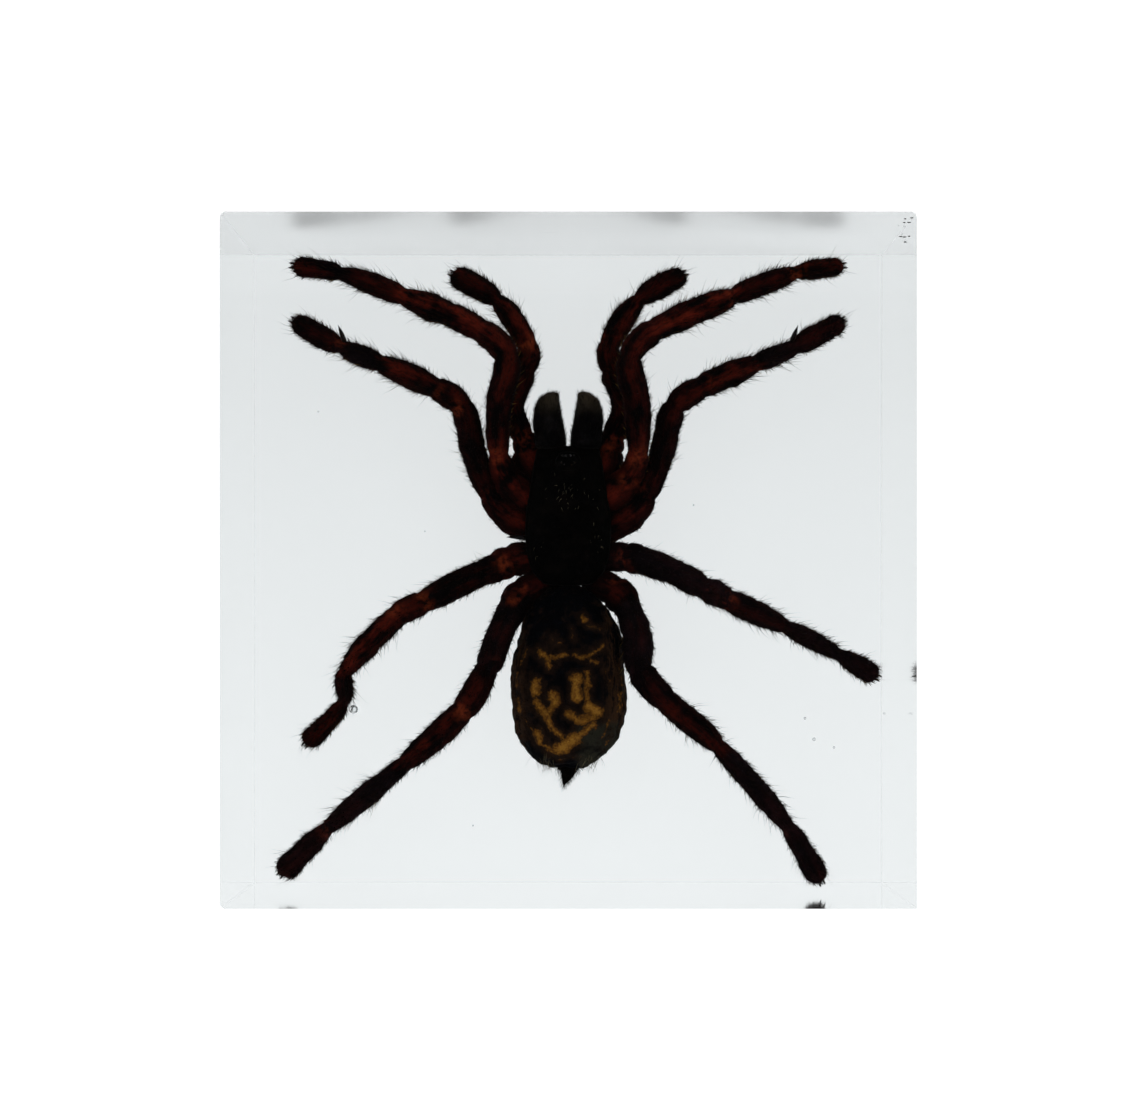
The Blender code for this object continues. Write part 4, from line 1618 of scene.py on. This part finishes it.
@dataclass
class Abdomen:
    """The shrunken abdomen, the stalk that joins it on, and the spinnerets behind."""

    stations: tuple[Station, ...] = (
        Station(-2.1, 0, 11.3, 0, 0, 0), Station(-2.5, 0, 11.3, 2.3, 1.0, 0.9),
        Station(-4.2, 0, 11.6, 3.9, 2.5, 2.0), Station(-6.2, 0.1, 11.8, 5.1, 3.7, 3.1),
        Station(-7.8, 0.2, 11.9, 5.7, 4.3, 3.9), Station(-10.0, 0.1, 11.9, 6.25, 4.8, 4.5),
        Station(-12.6, 0, 11.9, 6.5, 5.0, 4.8), Station(-15.2, 0.1, 11.9, 6.55, 4.9, 4.8),
        Station(-17.8, 0, 11.8, 6.3, 4.5, 4.4), Station(-20.2, 0, 11.7, 5.5, 3.7, 3.5),
        Station(-22.1, 0, 11.5, 3.8, 2.5, 2.2), Station(-22.9, 0, 11.3, 2.4, 1.4, 1.2),
        Station(-23.3, 0, 11.2, 0, 0, 0),
    )
    spinnerets: tuple[tuple[tuple[Spot, ...], tuple[float, ...]], ...] = (
        (((-0.3, -22.4, 11.2), (-0.2, -23.4, 11.1), (-0.3, -24.3, 10.9), (-0.5, -25.3, 10.6)),
         (1.5, 1.25, 0.9, 0.2)),
        (((0.4, -22.4, 11.2), (0.4, -23.3, 11.1), (0.2, -24.0, 10.9), (-0.1, -24.7, 10.6)),
         (1.4, 1.15, 0.8, 0.2)),
        (((-0.9, -22.4, 10.6), (-0.9, -23.1, 10.3), (-0.8, -23.6, 10.1)), (0.8, 0.7, 0.3)),
        (((0.9, -22.4, 10.6), (0.9, -23.1, 10.3), (0.8, -23.6, 10.1)), (0.8, 0.7, 0.3)),
    )

    @staticmethod
    def relief(place: Vector, skin: Vector) -> float:
        """The shrunken skin: broad lumps, lengthwise ridges on the flanks, and fine creases.

        Args:
            place: the place in millimetres.
            skin: its skin coordinates.

        Returns:
            The rise in millimetres.
        """
        lumps = noise.noise(Vector((place.x * 0.32, place.y * 0.32, place.z * 0.32)))
        drawn = Vector((place.x * 1.2, place.y * 0.3, place.z * 1.2))
        ridge = noise.noise(drawn + Vector((7.0, 3.0, 1.0)))
        crease = noise.noise(place * 1.25 + Vector((2.0, 9.0, 4.0)))
        flank = min(abs(place.x) / 5.0, 1.0) ** 2
        fold = -0.3 * bell(place.y + 7.9, 0.35) if place.z < 10.5 else 0.0
        sharp = 0.35 - abs(ridge)
        fine = noise.noise(place * 2.6 + Vector((4.0, 1.0, 8.0)))
        return 0.22 * lumps + 0.45 * flank * sharp + 0.16 * crease + 0.07 * fine + fold - 0.13

    def build(self, palette: Palette) -> None:
        """Makes the abdomen, its stalk, the spinnerets and their hair.

        Args:
            palette: the finishes to choose from.
        """
        bm = bmesh.new()
        form = BodyForm(self.stations, sides=88, steps=8, nap=0.55)
        push(bm, form.add(bm), self.relief)
        skin = to_piece(bm, "abdomen_skin", palette.abdomen)
        settle(skin, Slot.ABDOMEN, ["abdomen"])
        bm = bmesh.new()
        swept(
            bm, ((0, -1.3, 11.0), (0, -2.4, 11.2), (0, -3.6, 11.3)), (1.6, 1.3, 1.8), pitch=0.2,
            sides=20
        )
        settle(to_piece(bm, "abdomen_stalk", palette.plate), Slot.ABDOMEN)
        bm = bmesh.new()
        for points, widths in self.spinnerets:
            swept(bm, points, widths, pitch=0.18, sides=16)
        organs = to_piece(bm, "spinneret_group", palette.plate)
        settle(organs, Slot.ABDOMEN, ["spinnerets"])
        fur = Fur("abdomen_hair", 53)
        fur.grow(skin, Coat(
            4200, length=(0.4, 0.8), width=0.028, lean=70.0, spread=0.25, curl=0.2, tone=0.05,
            tone_spread=0.35, rim_light=0.3
        ))
        fur.grow(organs, Coat(700, length=(0.7, 1.3), width=0.04, lean=50.0, tone=0.1))
        place_bristles(skin, lambda x, y: bell(y + 22.2, 0.7) * bell(abs(x) - 2.6, 0.8))
        fur.grow(skin, Coat(
            110, length=(1.4, 3.0), width=0.045, lean=50.0, spread=0.4, curl=0.4,
            density="bristle", tone=0.5, tone_spread=0.5
        ))
        settle(fur.piece(palette.body_hair), Slot.ABDOMEN)


# ---------------------------------------------------------------------------
# Slab
# ---------------------------------------------------------------------------


class Bubble(NamedTuple):
    """An air bubble in the resin: its middle and radius."""

    x: float
    y: float
    z: float
    radius: float


@dataclass
class ResinSlab:
    """The one clear casting, with its broken edges, chipped corners and a few bubbles.

    edge_break is for the top edges along Y, cross_break for those along X, corner_break for
    the upright edges and sole_break for the edges that it lies on. A chip is the way that it
    faces and how deep it is cut below its corner.
    """

    edge_break: float = 0.5
    cross_break: float = 0.35
    corner_break: float = 0.12
    sole_break: float = 0.03
    chips: tuple[tuple[Spot, float], ...] = (
        ((1.0, 1.0, 1.0), 0.3), ((1.0, 0.6, 0.9), 0.3), ((-1.0, 1.0, 0.9), 0.3),
        ((-1.0, -1.0, 1.0), 0.3),
    )
    specks: tuple[Spot, ...] = (
        (36.3, 36.8, 23.5), (37.0, 36.9, 23.5), (36.7, 36.4, 23.6), (36.2, 36.4, 23.5),
        (35.8, 34.9, 23.5), (36.2, 34.85, 23.5), (36.7, 34.9, 23.6), (36.3, 34.3, 23.5),
    )
    bubbles: tuple[Bubble, ...] = (
        Bubble(26.8, -17.4, 13.0, 0.16), Bubble(27.9, -19.8, 12.4, 0.2),
        Bubble(30.1, -20.7, 12.8, 0.14), Bubble(36.0, -16.9, 11.5, 0.12),
        Bubble(-24.3, -16.4, 12.6, 0.5), Bubble(-29.0, 18.0, 7.0, 0.1),
        Bubble(14.0, 6.5, 16.0, 0.09), Bubble(-16.5, 4.0, 9.0, 0.08),
        Bubble(9.5, 29.0, 14.0, 0.09), Bubble(-11.0, -30.0, 8.0, 0.11),
        Bubble(36.4, 36.2, 22.6, 0.13), Bubble(36.2, 35.4, 22.2, 0.09),
        Bubble(36.5, 34.6, 22.4, 0.11), Bubble(35.9, 36.5, 21.6, 0.08),
    )

    def block(self) -> bmesh.types.BMesh:
        """The slab's bare block with its edges broken.

        Returns:
            The mesh, in millimetres.
        """
        top = SLAB_THICKNESS - TOUCH
        bm = bmesh.new()
        bmesh.ops.create_cube(bm, size=1.0)
        bmesh.ops.scale(bm, vec=(SLAB_SIDE, SLAB_SIDE, SLAB_THICKNESS), verts=bm.verts)
        bmesh.ops.translate(bm, vec=(0.0, 0.0, SLAB_THICKNESS / 2.0), verts=bm.verts)
        for chosen, offset in (
            (lambda a, b: abs(a.z - b.z) > 1.0, self.corner_break),
            (lambda a, b: min(a.z, b.z) > top and abs(a.x - b.x) > 1.0, self.cross_break),
            (lambda a, b: min(a.z, b.z) > top and abs(a.y - b.y) > 1.0, self.edge_break),
            (lambda a, b: max(a.z, b.z) < TOUCH, self.sole_break),
        ):
            edges = [e for e in bm.edges if chosen(e.verts[0].co, e.verts[1].co)]
            bmesh.ops.bevel(
                bm, geom=edges, offset=offset, segments=3, affect="EDGES", profile=0.5,
                material=-1,
            )
        return bm

    def chip(self, bm: bmesh.types.BMesh) -> None:
        """Cuts the chips off its corners.

        Args:
            bm: the block.
        """
        half = Vector((SLAB_SIDE / 2.0, SLAB_SIDE / 2.0, SLAB_THICKNESS / 2.0))
        for lean, depth in self.chips:
            normal = Vector(lean).normalized()
            corner = Vector((
                math.copysign(half.x, normal.x), math.copysign(half.y, normal.y),
                half.z + math.copysign(half.z, normal.z),
            ))
            cut = bmesh.ops.bisect_plane(
                bm, geom=bm.verts[:] + bm.edges[:] + bm.faces[:], dist=1e-4,
                plane_co=corner - normal * depth, plane_no=normal, clear_outer=True,
            )["geom_cut"]
            edges = [g for g in cut if isinstance(g, bmesh.types.BMEdge)]
            if edges:
                bmesh.ops.holes_fill(bm, edges=edges, sides=0)

    def blow(self, bm: bmesh.types.BMesh) -> None:
        """Adds the bubbles, whose faces look inwards.

        Args:
            bm: the block.
        """
        for bubble in self.bubbles:
            made = bmesh.ops.create_icosphere(
                bm, subdivisions=3, radius=bubble.radius,
                matrix=Matrix.Translation((bubble.x, bubble.y, bubble.z)),
            )["verts"]
            faces = list(dict.fromkeys(face for vert in made for face in vert.link_faces))
            bmesh.ops.reverse_faces(bm, faces=faces)
            for face in faces:
                face.smooth = True

    def build(self, palette: Palette) -> None:
        """Makes the slab, which stands for both parted halves of the frame, and its specks.

        Args:
            palette: the finishes to choose from.
        """
        bm = self.block()
        self.chip(bm)
        bmesh.ops.recalc_face_normals(bm, faces=bm.faces)
        self.blow(bm)
        slab = to_piece(bm, "resin_slab", palette.resin, outward=False)
        slab.visible_shadow = False
        settle(slab, Slot.RESIN, ["resin_block_lower", "resin_block_upper"])
        bm = bmesh.new()
        for number, (x, y, z) in enumerate(self.specks):
            size = Matrix.Diagonal((0.16 + 0.05 * (number % 3), 0.07, 0.05, 1.0))
            bmesh.ops.create_icosphere(
                bm, subdivisions=1, radius=1.0, matrix=Matrix.Translation((x, y, z)) @ size
            )
        settle(to_piece(bm, "resin_specks", palette.plate), Slot.CHITIN)


# ---------------------------------------------------------------------------
# Studio
# ---------------------------------------------------------------------------


@dataclass
class Studio:
    """A pale floor lit from below, soft light from all round, and the camera over the slab.

    floor_glow is the floor's light under the slab at the head end and at the rear, dimmed there
    as a painted shade under the slab and darker at the head end, and outer_glow what that turns
    to over floor_fade from the slab's walls. horizon and sky are the light from low down and
    from higher up, which turns from one to the other over sky_rise. From crown on it falls to
    overhead.
    """

    camera_place: Spot = (-0.355, -9.26, 162.0)
    lens: float = 40.9
    shift: float = 0.0866
    floor_size: float = 3.0
    floor_gap: float = 0.1
    floor_grey: Colour = (0.42, 0.42, 0.42, 1.0)
    floor_glow: tuple[float, float] = (0.742, 0.852)
    floor_fade: float = 4.0
    outer_glow: float = 0.96
    horizon: float = 1.04
    sky: float = 0.5
    sky_rise: tuple[float, float] = (0.22, 0.4)
    crown: tuple[float, float] = (0.84, 0.915)
    overhead: float = 0.01

    def build(self) -> None:
        """Makes the floor, the light and the camera."""
        self.add_floor()
        self.add_light()
        self.add_camera()
        bpy.context.scene.view_settings.view_transform = "Standard"

    def add_floor(self) -> None:
        """Makes the floor, a hair's breadth under the slab."""
        bm = bmesh.new()
        bmesh.ops.create_grid(bm, x_segments=1, y_segments=1, size=self.floor_size / 2.0)
        bmesh.ops.translate(bm, vec=(0.0, 0.0, -self.floor_gap * MM), verts=bm.verts)
        mesh = bpy.data.meshes.new("floor")
        bm.to_mesh(mesh)
        bm.free()
        floor = linked("floor", mesh)
        paint = new_paint("pale_floor")
        half = SLAB_SIDE / 2.0
        x, y = (paint.axis(paint.place(), letter) for letter in "XY")
        # Painted shade: the floor's glow is dimmed under the slab as a contact shade, more at the
        # head end.
        away = x.size().most(y.size()).eased(half, half + self.floor_fade)
        shaded = y.eased(half, -half, *self.floor_glow)
        glow = shaded + (self.outer_glow - shaded) * away
        mesh.materials.append(paint.material(paint.principled(
            Base_Color=self.floor_grey, Roughness=0.9, Specular_IOR_Level=0.1,
            Emission_Color=paint.mix(glow, BLACK, WHITE),
            Emission_Strength=1.0,
        )))

    def add_light(self) -> None:
        """Makes the light: a white horizon, a dim sky, and dark overhead for a clear top face."""
        world = bpy.data.worlds.new("studio_light")
        bpy.context.scene.world = world
        paint = Paint(world)
        toward = paint.node("ShaderNodeTexCoord", output="Generated")
        height = paint.axis(toward, "Z")
        strength = height.eased(*self.sky_rise, self.horizon, self.sky)
        strength = strength * height.eased(*self.crown, 1.0, 0.0) + self.overhead
        sky = paint.node("ShaderNodeBackground", {}, {"Color": WHITE, "Strength": strength})
        out = paint.tree.nodes.new("ShaderNodeOutputWorld")
        paint.tree.links.new(sky.socket, out.inputs["Surface"])

    def add_camera(self) -> None:
        """Makes the camera, which looks straight down."""
        data = bpy.data.cameras.new("camera")
        data.sensor_width = 36.0
        data.lens = self.lens
        data.shift_y = self.shift
        data.clip_start, data.clip_end = 0.005, 20.0
        camera = linked("camera", data)
        camera.location = Vector(self.camera_place) * MM
        bpy.context.scene.camera = camera


def main() -> None:
    """Builds the whole scene in order."""
    logging.basicConfig(level=logging.INFO, format="%(message)s")
    Studio().build()
    palette = Palette()
    ResinSlab().build(palette)
    Cephalothorax().build(palette)
    for side in Side:
        Jaw(side).build(palette)
    Abdomen().build(palette)
    for limb in LIMBS:
        limb.build(palette)
    build_claws(palette)


if __name__ == "__main__":
    main()
